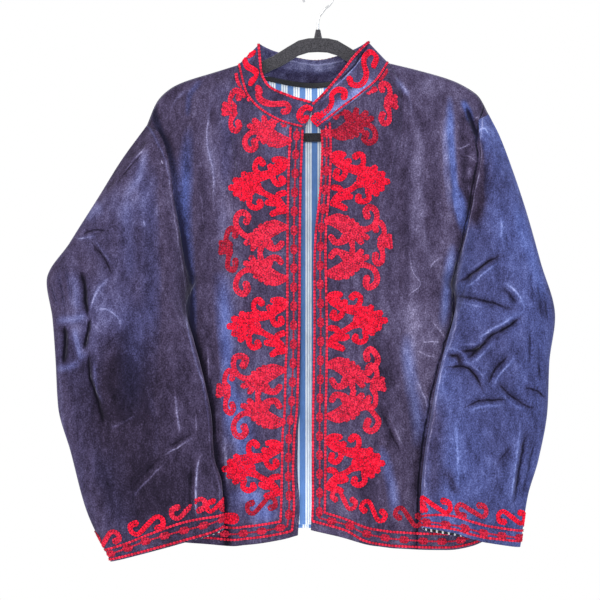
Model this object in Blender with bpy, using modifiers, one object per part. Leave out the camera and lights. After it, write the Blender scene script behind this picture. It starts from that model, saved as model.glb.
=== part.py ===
"""A velvet jacket with a stand collar, hung open on a slim flocked hanger.

Tables are in millimetres and everything built from them is in metres. +X is the wearer's left,
-Y is the front and +Z is up. The origin is the seat of the hook, where a rail would carry it.
The garment's panels are sheets worked out from named edges: each is read at (across, down), and the
same edge serves both of the pieces that are sewn along it.
"""
import math

import bmesh
import bpy
import numpy as np

MM = 0.001

# Cloth and seams, in millimetres.
VELVET_WALL = 1.5
LINING_WALL = 1.0
TAPE_WALL = 0.8
SEAM_GAP = 0.3
SEAM_SETBACK = 0.7
COLLAR_LIFT = 1.3
CAP_GAP = 1.3
UNDERARM_GAP = 1.6
LINING_INSET = 1.9
TAPE_INSET = 3.5
TAPE_DROP = 2.5
TAPE_HEIGHT = 6.0
BACK_LENGTH = 630.0
# The share of the way down the back at which its lining ends, just short of the hem.
LINING_END = 0.992

# The columns of a front lean out beside the neck: how far, how wide a share of them, how soon below the
# top, and between which shares of the way down the lean fades.
NECK_LEAN = 22.0
NECK_LEAN_WIDTH = 0.2
NECK_LEAN_START = 0.02
NECK_LEAN_FADE = (0.1, 0.5)

# How finely the sheets are divided.
NECK_STEPS = 8
SHOULDER_STEPS = 8
ARMHOLE_STEPS = 10
SIDE_STEPS = 9
SLEEVE_STEPS = 20
COLLAR_STEPS = 3

# The share of a front's top edge that is neckline; the rest is shoulder.
NECK_SHARE = 0.48
# Where the back's neckline starts and ends, as shares of its top edge.
BACK_PARTS = (0.31, 0.69)
# The back half of an armhole is flatter than its front half.
BACK_ARMHOLE = 0.8
# How far across a front the depth of its free edge is still felt.
EDGE_DEPTH_REACH = 0.6
# A fold deepens over the first share of its length and fades from the second.
FOLD_ENDS = (0.3, 0.75)
# The step, as a share of a sheet, over which its normal is measured.
NORMAL_STEP = 0.002
# Where the armhole ends, as a share of the way down the side of the body.
UNDERARM = 0.41
# Where the front starts to turn towards the side seam.
SIDE_TURN = 0.76
# The small round over the hanger's arms, and how soon a panel leaves it.
RIDGE_RADIUS = 5.0
RIDGE_FADE = 0.10
# The cross-section of a sleeve: 2 would be an ellipse, more is squarer.
SLEEVE_SQUARENESS = 2.3
# The back of a cuff hangs lower than its front, so the inside shows.
CUFF_DROP = 15.0
CUFF_DROP_START = 0.80
# The share of a sleeve over which its armhole seam's shape gives way to its own.
CAP_FADE = 0.3

# The neckline and the collar's upper edge, from the right front round the back to the left front.
# Columns: seam x, seam y, seam z, upper edge x, y, z.
NECK = [
    (-19.6, -57, -212.5, -12.3, -46, -175),
    (-48, -52, -204, -37, -40, -165.5),
    (-84, -38, -181, -67, -25, -149),
    (-100, -25, -158, -77.5, -13, -126),
    (-110, 0, -118, -80.5, 0, -88.5),
    (-79, 28, -127, -60, 9, -97),
    (-6, 38, -137, -3, 12, -109),
    (67, 28, -125, 49, 9, -95),
    (97, 0, -115.5, 68, 0, -85),
    (80, -30, -144, 48, -22, -108),
    (60, -42, -164, 33, -32, -129),
    (26, -53.5, -192, 10, -43, -158),
    (3.3, -57, -210.6, -6.5, -46, -176.5),
]
RIGHT_NECK_PLACE = 4
LEFT_NECK_PLACE = 8

# Along each shoulder from the neck to the end over the upper arm. Columns: x, z.
SHOULDER = {
    "right": [(-110, -118), (-147, -129.5), (-184, -141), (-203, -150), (-222, -168), (-237, -202)],
    "left": [(97, -115.5), (140, -126), (184, -139), (205, -149), (222, -161.5), (235.7, -186)],
}

# Down each side: the armhole, then the side seam. Columns: z, x, half depth of the armhole.
SIDE = {
    "right": [(-202, -237, 0), (-213, -219, 19), (-238, -208, 27), (-265, -202, 33), (-307, -196.5, 36),
              (-337, -190.5, 36), (-382, -184, 32), (-418, -178, 20), (-434, -176, 0), (-500, -183, 0),
              (-600, -197, 0), (-768, -213, 0)],
    "left": [(-186, 235.7, 0), (-198, 220, 19), (-226, 221, 27), (-252, 221, 32), (-289, 213.5, 36),
             (-325, 207, 36), (-363, 198.5, 33), (-407, 188, 20), (-425, 185, 0), (-500, 194, 0),
             (-600, 211, 0), (-768, 238, 0)],
}

# Each front's free edge. Columns: share of the way down, x.
FRONT_EDGE = {
    "right": [(0, -19.6), (0.12, -22.3), (0.3, -23.7), (0.5, -23.9), (0.68, -25), (0.76, -28.3),
              (0.83, -28.8), (0.93, -25.6), (1, -28)],
    "left": [(0, 3.3), (0.04, 4.4), (0.13, 2.8), (0.2, -0.8), (0.27, -4.8), (0.34, -6.2), (0.48, -6.3),
             (0.62, -7.5), (0.76, -8.9), (0.9, -8.9), (1, -10.2)],
}

# Each front's hem. Columns: share of the way across, x, z.
FRONT_HEM = {
    "right": [(0, -28, -760), (0.12, -50, -766), (0.35, -94, -773.2), (0.46, -113, -774.5),
              (0.64, -147, -772), (1, -213, -768)],
    "left": [(0, -10.2, -753), (0.17, 29, -762.3), (0.35, 73, -774.5), (0.5, 110, -778), (0.74, 172, -780),
             (0.88, 206, -776), (1, 238, -768)],
}
BACK_HEM = [(0, -213, -768), (0.5, 8, -765), (1, 238, -768)]

# How far the panels stand off the plane of the hanger.
# Columns: share of the way down, share of the full depth, full depth at the free edge, and elsewhere.
FRONT_DEPTH = [(0, 0, 57, 46), (0.05, 0.32, 59, 46), (0.12, 0.55, 60, 46), (0.25, 0.8, 59, 46),
               (0.45, 0.97, 58, 47), (0.7, 1, 57, 49), (1, 1, 56, 51)]
# Columns: share of the way down, share of the full depth, full depth.
BACK_DEPTH = [(0, 0, 34), (0.05, 0.35, 34), (0.12, 0.6, 34), (0.25, 0.85, 35), (0.5, 1, 36), (1, 1, 37)]

# A sleeve's outer fold and inner fold, from the armhole to the cuff, and its thickness about them.
# Columns: outer x, y, z, inner x, y, z, half thickness forward, half thickness back.
SLEEVE = {
    "right": [
        (-237, 0, -202, -176, 0, -434, 33, 26),
        (-270, -10, -250, -178, -10, -446, 34, 25),
        (-303, -19, -306, -178, -22, -459, 33, 23),
        (-339, -27, -365.5, -175, -38, -477, 31, 20),
        (-369, -34, -417.5, -169, -51, -498, 28, 16),
        (-360, -41, -467.5, -160.5, -60, -526, 26, 14),
        (-354.5, -48, -524.5, -152, -67, -559, 24, 13),
        (-350, -54, -586.5, -143.5, -72, -601, 22, 12),
        (-332.5, -60, -645.5, -140.5, -75, -649.5, 21, 12),
        (-310, -66, -724.5, -129.5, -76, -690, 19, 12),
        (-277.5, -69, -792, -126.8, -77, -749.5, 17, 12),
    ],
    "left": [
        (235.7, 0, -186, 185, 0, -425, 33, 26),
        (249, -10, -216, 186, -9, -437, 34, 25),
        (267, -19, -268, 187, -21, -451, 33, 23),
        (283.5, -27, -323, 184, -38, -468, 31, 20),
        (301.5, -34, -391.5, 177, -51, -490, 29, 17),
        (320, -41, -465, 168, -60, -518, 28, 15),
        (311, -48, -527, 158, -67, -556, 27, 14),
        (307.5, -54, -589.5, 149, -72, -604, 26, 14),
        (294.5, -60, -656.5, 141, -75, -654, 24, 14),
        (279, -66, -705.5, 137, -76, -699, 22, 13),
        (268.5, -69, -772.5, 136.7, -77, -748, 20, 13),
    ],
}

# The largest soft folds. Columns: x and z at the upper end, x and z at the lower end, half width, depth.
FRONT_FOLDS = {
    "right": [
        (-150, -150, -152, -400, 14, 4.5),
        (-124, -320, -118, -740, 15, 6),
        (-86, -560, -76, -750, 16, 3),
    ],
    "left": [
        (196, -172, 205, -300, 11, 5),
        (150, -175, 158, -460, 15, 4.5),
        (118, -420, 150, -740, 16, 5.5),
        (70, -600, 82, -760, 15, 3),
    ],
}
BACK_FOLDS = [
    (-128, -190, -140, -700, 18, 5),
    (-40, -330, -52, -750, 20, 4),
    (52, -300, 60, -740, 18, 5),
    (146, -200, 150, -690, 18, 5),
]
SLEEVE_FOLDS = {
    "right": [
        (-346, -330, -300, -428, 14, 5),
        (-318, -450, -322, -560, 11, 4),
        (-196, -560, -232, -500, 12, 4),
        (-196, -645, -262, -700, 12, 4),
        (-225, -330, -262, -470, 16, 4),
    ],
    "left": [
        (240, -345, 292, -400, 11, 4),
        (222, -500, 262, -600, 12, 5),
        (300, -520, 236, -600, 12, 4),
        (262, -640, 272, -745, 11, 5),
        (196, -570, 236, -560, 11, 4),
    ],
}

# The hanger. Its outline is given from the middle of the arch out to the tip and back along the bar.
# Past the arch the arms follow the shoulder seams, a little below them.
HANGER_THICKNESS = 5.0
HANGER_ROUNDING = 1.6
HANGER_CLEARANCE = 3.5
HANGER_ARCH = [(0, -80), (14, -80.6), (27, -83.6), (43, -93), (62, -105), (80, -113.5)]
HANGER_ARM = [112, 132, 152, 172, 186, 196]
HANGER_TIP = [(205, -158.5), (211.5, -166), (214.5, -176), (213.5, -187), (208, -199), (192, -212),
              (172, -221), (150, -224), (0, -224)]
HANGER_HOLE = [(0, -99.5), (13, -100.2), (27, -104.5), (50, -118.5), (80, -132), (120, -143.5), (160, -155),
               (184, -163.5), (193, -173), (191, -186), (180, -200), (160, -210), (140, -212), (0, -212)]

FERRULE_SIDES = 20
FERRULE_RADIUS = 5.5
FERRULE_TOP_RADIUS = 3.2
FERRULE_BASE_Z = -79.7
FERRULE_HEIGHT = 11.0
WIRE_RADIUS = 1.7
HOOK_RADIUS = 21.7
HOOK_STEPS = 16
HOOK_START_ANGLE = -62
HOOK_END_ANGLE = 208
# The shank's places above its foot, before the round of the hook. Columns: x, z.
HOOK_SHANK = [(0, 0), (0, 11), (1.6, 18)]

VELVET_ROUGHNESS = 0.85
NAVY = (0.052, 0.045, 0.098, 1)
SLATE = (0.075, 0.085, 0.22, 1)
PLUM = (0.085, 0.062, 0.13, 1)
COLLAR_NAVY = (0.06, 0.05, 0.10, 1)
STRIPE_BLUE = (0.22, 0.30, 0.52, 1)
BLACK_TAPE = (0.03, 0.028, 0.035, 1)
FLOCK = (0.02, 0.018, 0.022, 1)
CHROME = (0.62, 0.63, 0.65, 1)


def smooth(knots, rows, at):
    """Reads a table's columns at any place, on a curve that doesn't overshoot its rows."""
    knots = np.asarray(knots, float)
    rows = np.asarray(rows, float)
    gaps = np.diff(knots)
    slopes = np.diff(rows, axis=0) / gaps[:, None]
    tangents = np.zeros_like(rows)
    before = slopes[:-1]
    after = slopes[1:]
    total = before + after
    total[total == 0] = 1
    tangents[1:-1] = np.where(before * after > 0, 2 * before * after / total, 0)
    tangents[0] = slopes[0]
    tangents[-1] = slopes[-1]
    at = np.clip(np.asarray(at, float), knots[0], knots[-1])
    cell = np.clip(np.searchsorted(knots, at, side="right") - 1, 0, len(knots) - 2)
    gap = gaps[cell][..., None]
    t = (at - knots[cell])[..., None] / gap
    start = (2 * t**3 - 3 * t**2 + 1) * rows[cell] + (t**3 - 2 * t**2 + t) * gap * tangents[cell]
    finish = (3 * t**2 - 2 * t**3) * rows[cell + 1] + (t**3 - t**2) * gap * tangents[cell + 1]
    return start + finish


def run(points):
    """The distance along a line of points, from 0 to 1."""
    points = np.asarray(points, float)
    lengths = np.linalg.norm(np.diff(points, axis=0), axis=1)
    total = np.concatenate([[0.0], np.cumsum(lengths)])
    return total / total[-1]


def column(table, first, last=None):
    return [row[first:last] for row in table]


def read_columns(table, at):
    """Reads a table at any place along its first column, and gives its other columns."""
    knots = [row[0] for row in table]
    return np.moveaxis(smooth(knots, column(table, 1), at), -1, 0)


def bend(line, ends, at):
    """How far a line of values strays from the straight run between its ends."""
    first = ends[0][0]
    last = ends[-1][0]
    return line - (first + (last - first) * at)


def step(low, high, at):
    """Rises softly from 0 at low to 1 at high."""
    t = np.clip((np.asarray(at, float) - low) / (high - low), 0, 1)
    return t * t * (3 - 2 * t)


NECK_RUN = run(column(NECK, 0, 3))


def neck_ring(place):
    """The neckline and the collar's upper edge, at a share of the way round from front to front."""
    both = smooth(NECK_RUN, NECK, place)
    return both[..., :3], both[..., 3:]


def outward(side):
    """The sign of x on a side of the wearer."""
    return -1 if side == "right" else 1


def neck_span(side):
    """Where a front's neckline starts, at its free edge, and where it ends, at the shoulder."""
    if side == "right":
        return 0.0, NECK_RUN[RIGHT_NECK_PLACE]
    return 1.0, NECK_RUN[LEFT_NECK_PLACE]


def shoulder(side, share):
    """A shoulder seam, from the neck at 0 to its end at 1."""
    table = SHOULDER[side]
    flat = smooth(run(table), table, share)
    return np.stack([flat[..., 0], np.zeros_like(flat[..., 0]), flat[..., 1]], axis=-1)


def front_top(side, across):
    start, end = neck_span(side)
    neckline = neck_ring(start + (end - start) * np.clip(across / NECK_SHARE, 0, 1))[0]
    seam = shoulder(side, np.clip((across - NECK_SHARE) / (1 - NECK_SHARE), 0, 1))
    return np.where((across < NECK_SHARE)[..., None], neckline, seam)


def side_line(side, down):
    """The side of the body at a share of the way down: x and the armhole's half depth."""
    table = SIDE[side]
    top = table[0][0]
    bottom = table[-1][0]
    shares = [(row[0] - top) / (bottom - top) for row in table]
    read = smooth(shares, column(table, 1), down)
    return read[..., 0], read[..., 1]


def fold_depth(folds, x, z):
    """How far the folds push a sheet in, at a place seen from the front."""
    depth = np.zeros_like(x)
    for x_top, z_top, x_low, z_low, width, sink in folds:
        along_x = x_low - x_top
        along_z = z_low - z_top
        length = math.hypot(along_x, along_z)
        along = ((x - x_top) * along_x + (z - z_top) * along_z) / length
        aside = ((x - x_top) * along_z - (z - z_top) * along_x) / length
        starting = step(0, FOLD_ENDS[0] * length, along)
        ending = step(FOLD_ENDS[1] * length, length, along)
        ends = starting * (1 - ending)
        depth = depth + sink * ends * np.exp(-((aside / width) ** 2))
    return depth


def side_turn(across):
    """1 over the flat of a panel, falling to 0 where it has turned to the side seam."""
    t = np.clip((across - SIDE_TURN) / (1 - SIDE_TURN), 0, 1)
    return np.sqrt(1 - t**2)


def ridge(fallen):
    """The quarter round over the hanger, at a distance fallen from the shoulder."""
    drop = np.clip(1 - fallen / RIDGE_RADIUS, 0, 1)
    return RIDGE_RADIUS * np.sqrt(1 - drop**2)


def front_sheet(side, across, down):
    """A point of a front: across from the free edge to the side, down from the top to the hem."""
    top = front_top(side, across)
    hem_x, hem_z = read_columns(FRONT_HEM[side], across)
    edge_x = read_columns(FRONT_EDGE[side], down)[0]
    edge_bend = bend(edge_x, column(FRONT_EDGE[side], 1, 2), down)
    side_x, armhole = side_line(side, down)
    side_bend = bend(side_x, column(SIDE[side], 1, 2), down)
    lean = NECK_LEAN * np.exp(-(((across - NECK_SHARE) / NECK_LEAN_WIDTH) ** 2))
    lean = lean * (1 - np.exp(-down / NECK_LEAN_START)) * (1 - step(*NECK_LEAN_FADE, down))
    x = top[..., 0] + (hem_x - top[..., 0]) * down + (1 - across) * edge_bend + across * side_bend
    x = x + outward(side) * lean
    z = top[..., 2] + (hem_z - top[..., 2]) * down
    share, at_edge, elsewhere = read_columns(FRONT_DEPTH, down)
    plane = elsewhere + (at_edge - elsewhere) * (1 - step(0, EDGE_DEPTH_REACH, across))
    over_hanger = ridge(top[..., 2] - z) * step(NECK_SHARE - RIDGE_FADE, NECK_SHARE, across)
    free = (1 - share) * -top[..., 1] + over_hanger + share * plane
    free = free - fold_depth(FRONT_FOLDS[side], x, z)
    turn = side_turn(across)
    depth = free * turn + armhole * (1 - turn)
    return np.stack([x, -np.maximum(depth, SEAM_SETBACK), z], axis=-1)


def back_top(across):
    """The top of the back: right shoulder, neckline, left shoulder, at 0 to 1 across."""
    right_part, left_part = BACK_PARTS
    right = shoulder("right", 1 - np.clip(across / right_part, 0, 1))
    left = shoulder("left", np.clip((across - left_part) / (1 - left_part), 0, 1))
    share = np.clip((across - right_part) / (left_part - right_part), 0, 1)
    place = NECK_RUN[RIGHT_NECK_PLACE] + (NECK_RUN[LEFT_NECK_PLACE] - NECK_RUN[RIGHT_NECK_PLACE]) * share
    neckline = neck_ring(place)[0]
    middle = np.where((across < left_part)[..., None], neckline, left)
    return np.where((across < right_part)[..., None], right, middle)


def back_sheet(across, down):
    """A point of the back: across from the right side to the left, down from the top to the hem."""
    top = back_top(across)
    hem_x, hem_z = read_columns(BACK_HEM, across)
    bends = []
    armholes = []
    for side in ("right", "left"):
        side_x, armhole = side_line(side, down)
        bends.append(bend(side_x, column(SIDE[side], 1, 2), down))
        armholes.append(armhole * BACK_ARMHOLE)
    x = top[..., 0] + (hem_x - top[..., 0]) * down + (1 - across) * bends[0] + across * bends[1]
    z = top[..., 2] + (hem_z - top[..., 2]) * down
    share, plane = read_columns(BACK_DEPTH, down)
    outside = np.maximum(BACK_PARTS[0] - across, across - BACK_PARTS[1])
    over_hanger = ridge(top[..., 2] - z) * step(-RIDGE_FADE, 0, outside)
    free = (1 - share) * top[..., 1] + over_hanger + share * plane - fold_depth(BACK_FOLDS, x, z)
    from_middle = np.abs(across - 0.5) * 2
    turn = side_turn(from_middle)
    armhole = np.where(across < 0.5, armholes[0], armholes[1])
    depth = free * turn + armhole * (1 - turn)
    return np.stack([x, np.maximum(depth, SEAM_SETBACK), z], axis=-1)


def squared(wave):
    """A sine or cosine whose ring is squarer than a circle."""
    return np.sign(wave) * np.abs(wave) ** (2 / SLEEVE_SQUARENESS)


def armhole_share(turn):
    """How far down the armhole a sleeve's ring has got, at an angle from its top."""
    return (1 - squared(np.cos(turn))) / 2


def ring_point(row, share, bulge):
    """A place on a sleeve's ring, from its table's row: share from its outer to its inner fold."""
    point = row[..., :3] + (row[..., 3:6] - row[..., :3]) * share[..., None]
    point[..., 1] += np.where(bulge > 0, -row[..., 6] * bulge, -row[..., 7] * bulge)
    return point


def armhole_seam(side, share, bulge):
    """Where a sleeve's first ring meets the body, clear of the body's own edge."""
    table = SIDE[side]
    top = table[0][0]
    bottom = table[-1][0]
    body_down = share * UNDERARM
    x, armhole = side_line(side, body_down)
    gap = CAP_GAP + UNDERARM_GAP * share**3
    y = np.where(bulge > 0, -armhole, BACK_ARMHOLE * armhole)
    return np.stack([x + outward(side) * gap, y, top + (bottom - top) * body_down], axis=-1)


def sleeve_sheet(side, turn, down):
    """A point of a sleeve: turn is the angle from its outer fold over the front, down to the cuff."""
    table = SLEEVE[side]
    knots = run(column(table, 0, 3))
    share = armhole_share(turn)
    bulge = squared(np.sin(turn))
    point = ring_point(smooth(knots, table, down), share, bulge)
    hidden = np.clip(-bulge, 0, 1) * share
    point[..., 2] -= CUFF_DROP * hidden * step(CUFF_DROP_START, 1, down)
    start = ring_point(smooth(knots, table, np.zeros_like(down)), share, bulge)
    seam = armhole_seam(side, share, bulge)
    point = point + (seam - start) * (1 - step(0, CAP_FADE, down))[..., None]
    sink = fold_depth(SLEEVE_FOLDS[side], point[..., 0], point[..., 2]) * np.abs(bulge)
    point[..., 1] += np.where(bulge > 0, sink, -sink)
    return point


def collar_sheet(place, up):
    """A point of the collar: place round the neck, up from the seam to the upper edge."""
    seam, upper = neck_ring(place)
    slant = upper - seam
    length = np.linalg.norm(slant, axis=-1, keepdims=True)
    foot = seam + slant / length * COLLAR_LIFT
    return foot + (upper - foot) * up[..., None]


def moved(sheet, across, down, distance):
    """A sheet moved along its own normal, which for the back points away from the body."""
    point = sheet(across, down)
    before = np.clip(across - NORMAL_STEP, 0, 1)
    after = np.clip(across + NORMAL_STEP, 0, 1)
    above = np.clip(down - NORMAL_STEP, 0, 1)
    below = np.clip(down + NORMAL_STEP, 0, 1)
    normal = np.cross(sheet(after, down) - sheet(before, down), sheet(across, below) - sheet(across, above))
    normal /= np.linalg.norm(normal, axis=-1, keepdims=True)
    return point + normal * distance


def add_material(name, color, roughness, metallic=0.0):
    material = bpy.data.materials.new(name)
    material.use_nodes = True
    shader = material.node_tree.nodes["Principled BSDF"]
    shader.inputs["Base Color"].default_value = color
    shader.inputs["Roughness"].default_value = roughness
    shader.inputs["Metallic"].default_value = metallic
    return material


def add_object(name, mesh, material, collection):
    piece = bpy.data.objects.new(name, mesh)
    mesh.materials.append(material)
    collection.objects.link(piece)
    return piece


def sheet_object(name, points, wall, material, collection, closed=False):
    """A grid of points as one thin wall. A closed grid joins its last column to its first."""
    rows, columns = points.shape[:2]
    mesh = bmesh.new()
    verts = [[mesh.verts.new(points[i, j] * MM) for j in range(columns)] for i in range(rows)]
    for i in range(rows if closed else rows - 1):
        after = (i + 1) % rows
        for j in range(columns - 1):
            mesh.faces.new((verts[i][j], verts[i][j + 1], verts[after][j + 1], verts[after][j]))
    data = bpy.data.meshes.new(name)
    mesh.to_mesh(data)
    mesh.free()
    data.shade_smooth()
    piece = add_object(name, data, material, collection)
    shell = piece.modifiers.new("Wall", "SOLIDIFY")
    shell.thickness = wall * MM
    shell.offset = 0
    return piece


def body_rows():
    """Shares of the way down a panel: the armhole's own rows, then even rows to the hem."""
    turns = np.linspace(0, math.pi, ARMHOLE_STEPS + 1)
    armhole = armhole_share(turns) * UNDERARM
    below = np.linspace(UNDERARM, 1, SIDE_STEPS + 1)[1:]
    return np.concatenate([armhole, below])


def front_columns():
    neckline = np.linspace(0, NECK_SHARE, NECK_STEPS + 1)
    seam = np.linspace(NECK_SHARE, 1, SHOULDER_STEPS + 1)[1:]
    return np.concatenate([neckline, seam])


def back_columns():
    right = np.linspace(0, BACK_PARTS[0], SHOULDER_STEPS + 1)
    middle = np.linspace(BACK_PARTS[0], BACK_PARTS[1], NECK_STEPS + 1)[1:]
    left = np.linspace(BACK_PARTS[1], 1, SHOULDER_STEPS + 1)[1:]
    return np.concatenate([right, middle, left])


def collar_places():
    right = np.linspace(0, NECK_RUN[RIGHT_NECK_PLACE], NECK_STEPS + 1)
    middle = np.linspace(NECK_RUN[RIGHT_NECK_PLACE], NECK_RUN[LEFT_NECK_PLACE], NECK_STEPS + 1)[1:]
    left = np.linspace(NECK_RUN[LEFT_NECK_PLACE], 1, NECK_STEPS + 1)[1:]
    return np.concatenate([right, middle, left])


def build_fronts(collection):
    colors = {"right": NAVY, "left": PLUM}
    for side in ("right", "left"):
        across, down = np.meshgrid(front_columns(), body_rows(), indexing="ij")
        points = front_sheet(side, across, down)
        if side == "left":
            points = points[::-1]
        velvet = add_material(f"velvet_front_{side}", colors[side], VELVET_ROUGHNESS)
        sheet_object(f"front_{side}", points, VELVET_WALL, velvet, collection)


def build_back(collection):
    across, down = np.meshgrid(back_columns(), body_rows(), indexing="ij")
    velvet = add_material("velvet_back", NAVY, VELVET_ROUGHNESS)
    sheet_object("back", back_sheet(across, down), VELVET_WALL, velvet, collection)


def build_sleeves(collection):
    colors = {"right": NAVY, "left": SLATE}
    turns = np.linspace(0, 2 * math.pi, 2 * ARMHOLE_STEPS, endpoint=False)
    for side in ("right", "left"):
        turn, down = np.meshgrid(turns, np.linspace(0, 1, SLEEVE_STEPS + 1), indexing="ij")
        points = sleeve_sheet(side, turn, down)
        if side == "left":
            points = points[::-1]
        velvet = add_material(f"velvet_sleeve_{side}", colors[side], VELVET_ROUGHNESS)
        sheet_object(f"sleeve_{side}", points, VELVET_WALL, velvet, collection, closed=True)


def build_collar(collection):
    place, up = np.meshgrid(collar_places(), np.linspace(1, 0, COLLAR_STEPS + 1), indexing="ij")
    velvet = add_material("velvet_collar", COLLAR_NAVY, VELVET_ROUGHNESS)
    sheet_object("collar", collar_sheet(place, up), VELVET_WALL, velvet, collection)


def build_neck_tape(collection):
    """A black tape over the neck seam, on the inside of the back."""
    across = back_columns()[SHOULDER_STEPS + 1:SHOULDER_STEPS + NECK_STEPS]
    drops = np.array([TAPE_DROP, TAPE_DROP + TAPE_HEIGHT]) / BACK_LENGTH
    across, down = np.meshgrid(across, drops, indexing="ij")
    points = moved(back_sheet, across, down, -TAPE_INSET)
    tape = add_material("neck_tape", BLACK_TAPE, 0.9)
    sheet_object("neck_tape", points, TAPE_WALL, tape, collection)


def build_lining(collection):
    """The striped lining of the back, which shows through the open front."""
    rows = body_rows()[1:]
    rows[-1] = LINING_END
    across, down = np.meshgrid(back_columns()[1:-1], rows, indexing="ij")
    points = moved(back_sheet, across, down, -LINING_INSET)
    cotton = add_material("striped_cotton", STRIPE_BLUE, 0.9)
    sheet_object("lining_back", points, LINING_WALL, cotton, collection)


def outline_spline(curve, half):
    """A closed outline from one half of it, which is mirrored about the middle."""
    mirrored = [(-x, z) for x, z in reversed(half) if x > 0]
    points = half + mirrored
    spline = curve.splines.new("POLY")
    spline.use_cyclic_u = True
    spline.points.add(len(points) - 1)
    for place, (x, z) in zip(spline.points, points):
        place.co = (x * MM, z * MM, 0, 1)


def hanger_arm():
    """The upper edge of an arm, just below the lower of the two shoulder seams."""
    points = []
    for x in HANGER_ARM:
        heights = []
        for table in SHOULDER.values():
            reach = [abs(row[0]) for row in table]
            heights.append(float(smooth(reach, column(table, 1), x)[0]))
        points.append((x, min(heights) - HANGER_CLEARANCE))
    return points


def build_hanger(collection):
    """The flocked frame: arms that slope from the arch to the tips, joined by a bar."""
    curve = bpy.data.curves.new("hanger_body", "CURVE")
    curve.dimensions = "2D"
    curve.fill_mode = "BOTH"
    curve.extrude = (HANGER_THICKNESS / 2 - HANGER_ROUNDING) * MM
    curve.bevel_depth = HANGER_ROUNDING * MM
    curve.bevel_resolution = 1
    curve.offset = -HANGER_ROUNDING * MM
    outline_spline(curve, HANGER_ARCH + hanger_arm() + HANGER_TIP)
    outline_spline(curve, HANGER_HOLE)
    curve.materials.append(add_material("flock", FLOCK, 0.95))
    hanger = bpy.data.objects.new("hanger_body", curve)
    hanger.rotation_euler = (math.radians(90), 0, 0)
    collection.objects.link(hanger)
    weld = hanger.modifiers.new("Weld", "WELD")
    weld.merge_threshold = 0.00001


def build_ferrule(collection):
    data = bpy.data.meshes.new("hanger_ferrule")
    mesh = bmesh.new()
    bmesh.ops.create_cone(mesh, cap_ends=True, segments=FERRULE_SIDES, radius1=FERRULE_RADIUS * MM,
                          radius2=FERRULE_TOP_RADIUS * MM, depth=FERRULE_HEIGHT * MM)
    mesh.to_mesh(data)
    mesh.free()
    data.shade_smooth()
    data.set_sharp_from_angle(angle=math.radians(40))
    ferrule = add_object("hanger_ferrule", data, add_material("ferrule", FLOCK, 0.6), collection)
    ferrule.location = (0, 0, (FERRULE_BASE_Z + FERRULE_HEIGHT / 2) * MM)


def build_hook(collection):
    """A wire hook whose inner top is the origin."""
    centre = WIRE_RADIUS - HOOK_RADIUS
    angles = np.linspace(HOOK_START_ANGLE, HOOK_END_ANGLE, HOOK_STEPS + 1)
    shank_foot = FERRULE_BASE_Z + FERRULE_HEIGHT + SEAM_GAP
    points = [(x, shank_foot + z) for x, z in HOOK_SHANK]
    for angle in np.radians(angles):
        points.append((HOOK_RADIUS * math.cos(angle), centre + HOOK_RADIUS * math.sin(angle)))
    curve = bpy.data.curves.new("hanger_hook", "CURVE")
    curve.dimensions = "3D"
    curve.bevel_depth = WIRE_RADIUS * MM
    curve.bevel_resolution = 2
    curve.use_fill_caps = True
    spline = curve.splines.new("POLY")
    spline.points.add(len(points) - 1)
    for place, (x, z) in zip(spline.points, points):
        place.co = (x * MM, 0, z * MM, 1)
    curve.materials.append(add_material("chrome", CHROME, 0.25, 1.0))
    hook = bpy.data.objects.new("hanger_hook", curve)
    collection.objects.link(hook)


def main():
    for item in list(bpy.data.objects):
        bpy.data.objects.remove(item, do_unlink=True)
    collection = bpy.data.collections.new("velvet_jacket")
    bpy.context.scene.collection.children.link(collection)
    build_fronts(collection)
    build_back(collection)
    build_sleeves(collection)
    build_collar(collection)
    build_neck_tape(collection)
    build_lining(collection)
    build_hanger(collection)
    build_ferrule(collection)
    build_hook(collection)


main()
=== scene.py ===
"""The looks of a velvet jacket with a stand collar, hung open on a slim flocked hanger.

Tables are in millimetres and what is built from them is in metres. +X is the wearer's left, -Y is the
front and +Z is up. The panels are the frame's own sheets, read more finely, with their creases pressed in
and the nap of the velvet shaded: partly crushed nap, partly painted shade, painted highlights and painted
cool light along creases, seams and sleeve edges. The embroidery is chain stitch, laid link by link in
rows that follow its strokes, with painted shade in the links' grooves and painted highlights on their
strands.
"""

import math
import random
from functools import partial

import bpy
import numpy as np
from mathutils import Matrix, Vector
from mathutils.bvhtree import BVHTree


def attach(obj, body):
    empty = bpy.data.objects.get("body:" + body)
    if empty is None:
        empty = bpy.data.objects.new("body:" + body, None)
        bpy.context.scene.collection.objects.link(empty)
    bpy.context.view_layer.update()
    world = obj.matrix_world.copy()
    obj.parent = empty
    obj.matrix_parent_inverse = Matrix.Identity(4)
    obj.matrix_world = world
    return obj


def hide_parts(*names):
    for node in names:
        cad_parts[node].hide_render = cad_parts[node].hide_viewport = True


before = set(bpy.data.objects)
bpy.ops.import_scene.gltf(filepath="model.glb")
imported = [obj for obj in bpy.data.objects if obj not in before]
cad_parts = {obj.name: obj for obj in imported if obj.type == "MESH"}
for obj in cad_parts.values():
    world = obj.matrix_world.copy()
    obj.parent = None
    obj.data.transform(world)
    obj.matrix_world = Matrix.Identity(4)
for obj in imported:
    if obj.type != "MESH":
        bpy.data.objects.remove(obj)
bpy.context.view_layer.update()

MM = 0.001

# The photograph's view: 600 points across are 810 mm at the fronts, from 1.9 m off the hanger's plane.
CAMERA_PLACE = (-0.025, -1.9, -0.4433)
VIEW_WIDTH = 0.810
VIEW_DISTANCE = 1.850
SENSOR = 36.0

# Cloth and seams.
VELVET_WALL = 1.5
LINING_WALL = 1.0
TAPE_WALL = 0.8
COLLAR_LIFT = 0.2
CAP_GAP = 0.1
UNDERARM_GAP = 0.1
LINING_INSET = 1.9
TAPE_INSET = 3.5
TAPE_DROP = 0.5
TAPE_HEIGHT = 7.0
# Where the back's lining starts and ends, as shares of the way across and down.
LINING_SIDES = (0.012, 0.988)
LINING_ROWS = (0.012, 0.992)
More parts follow.
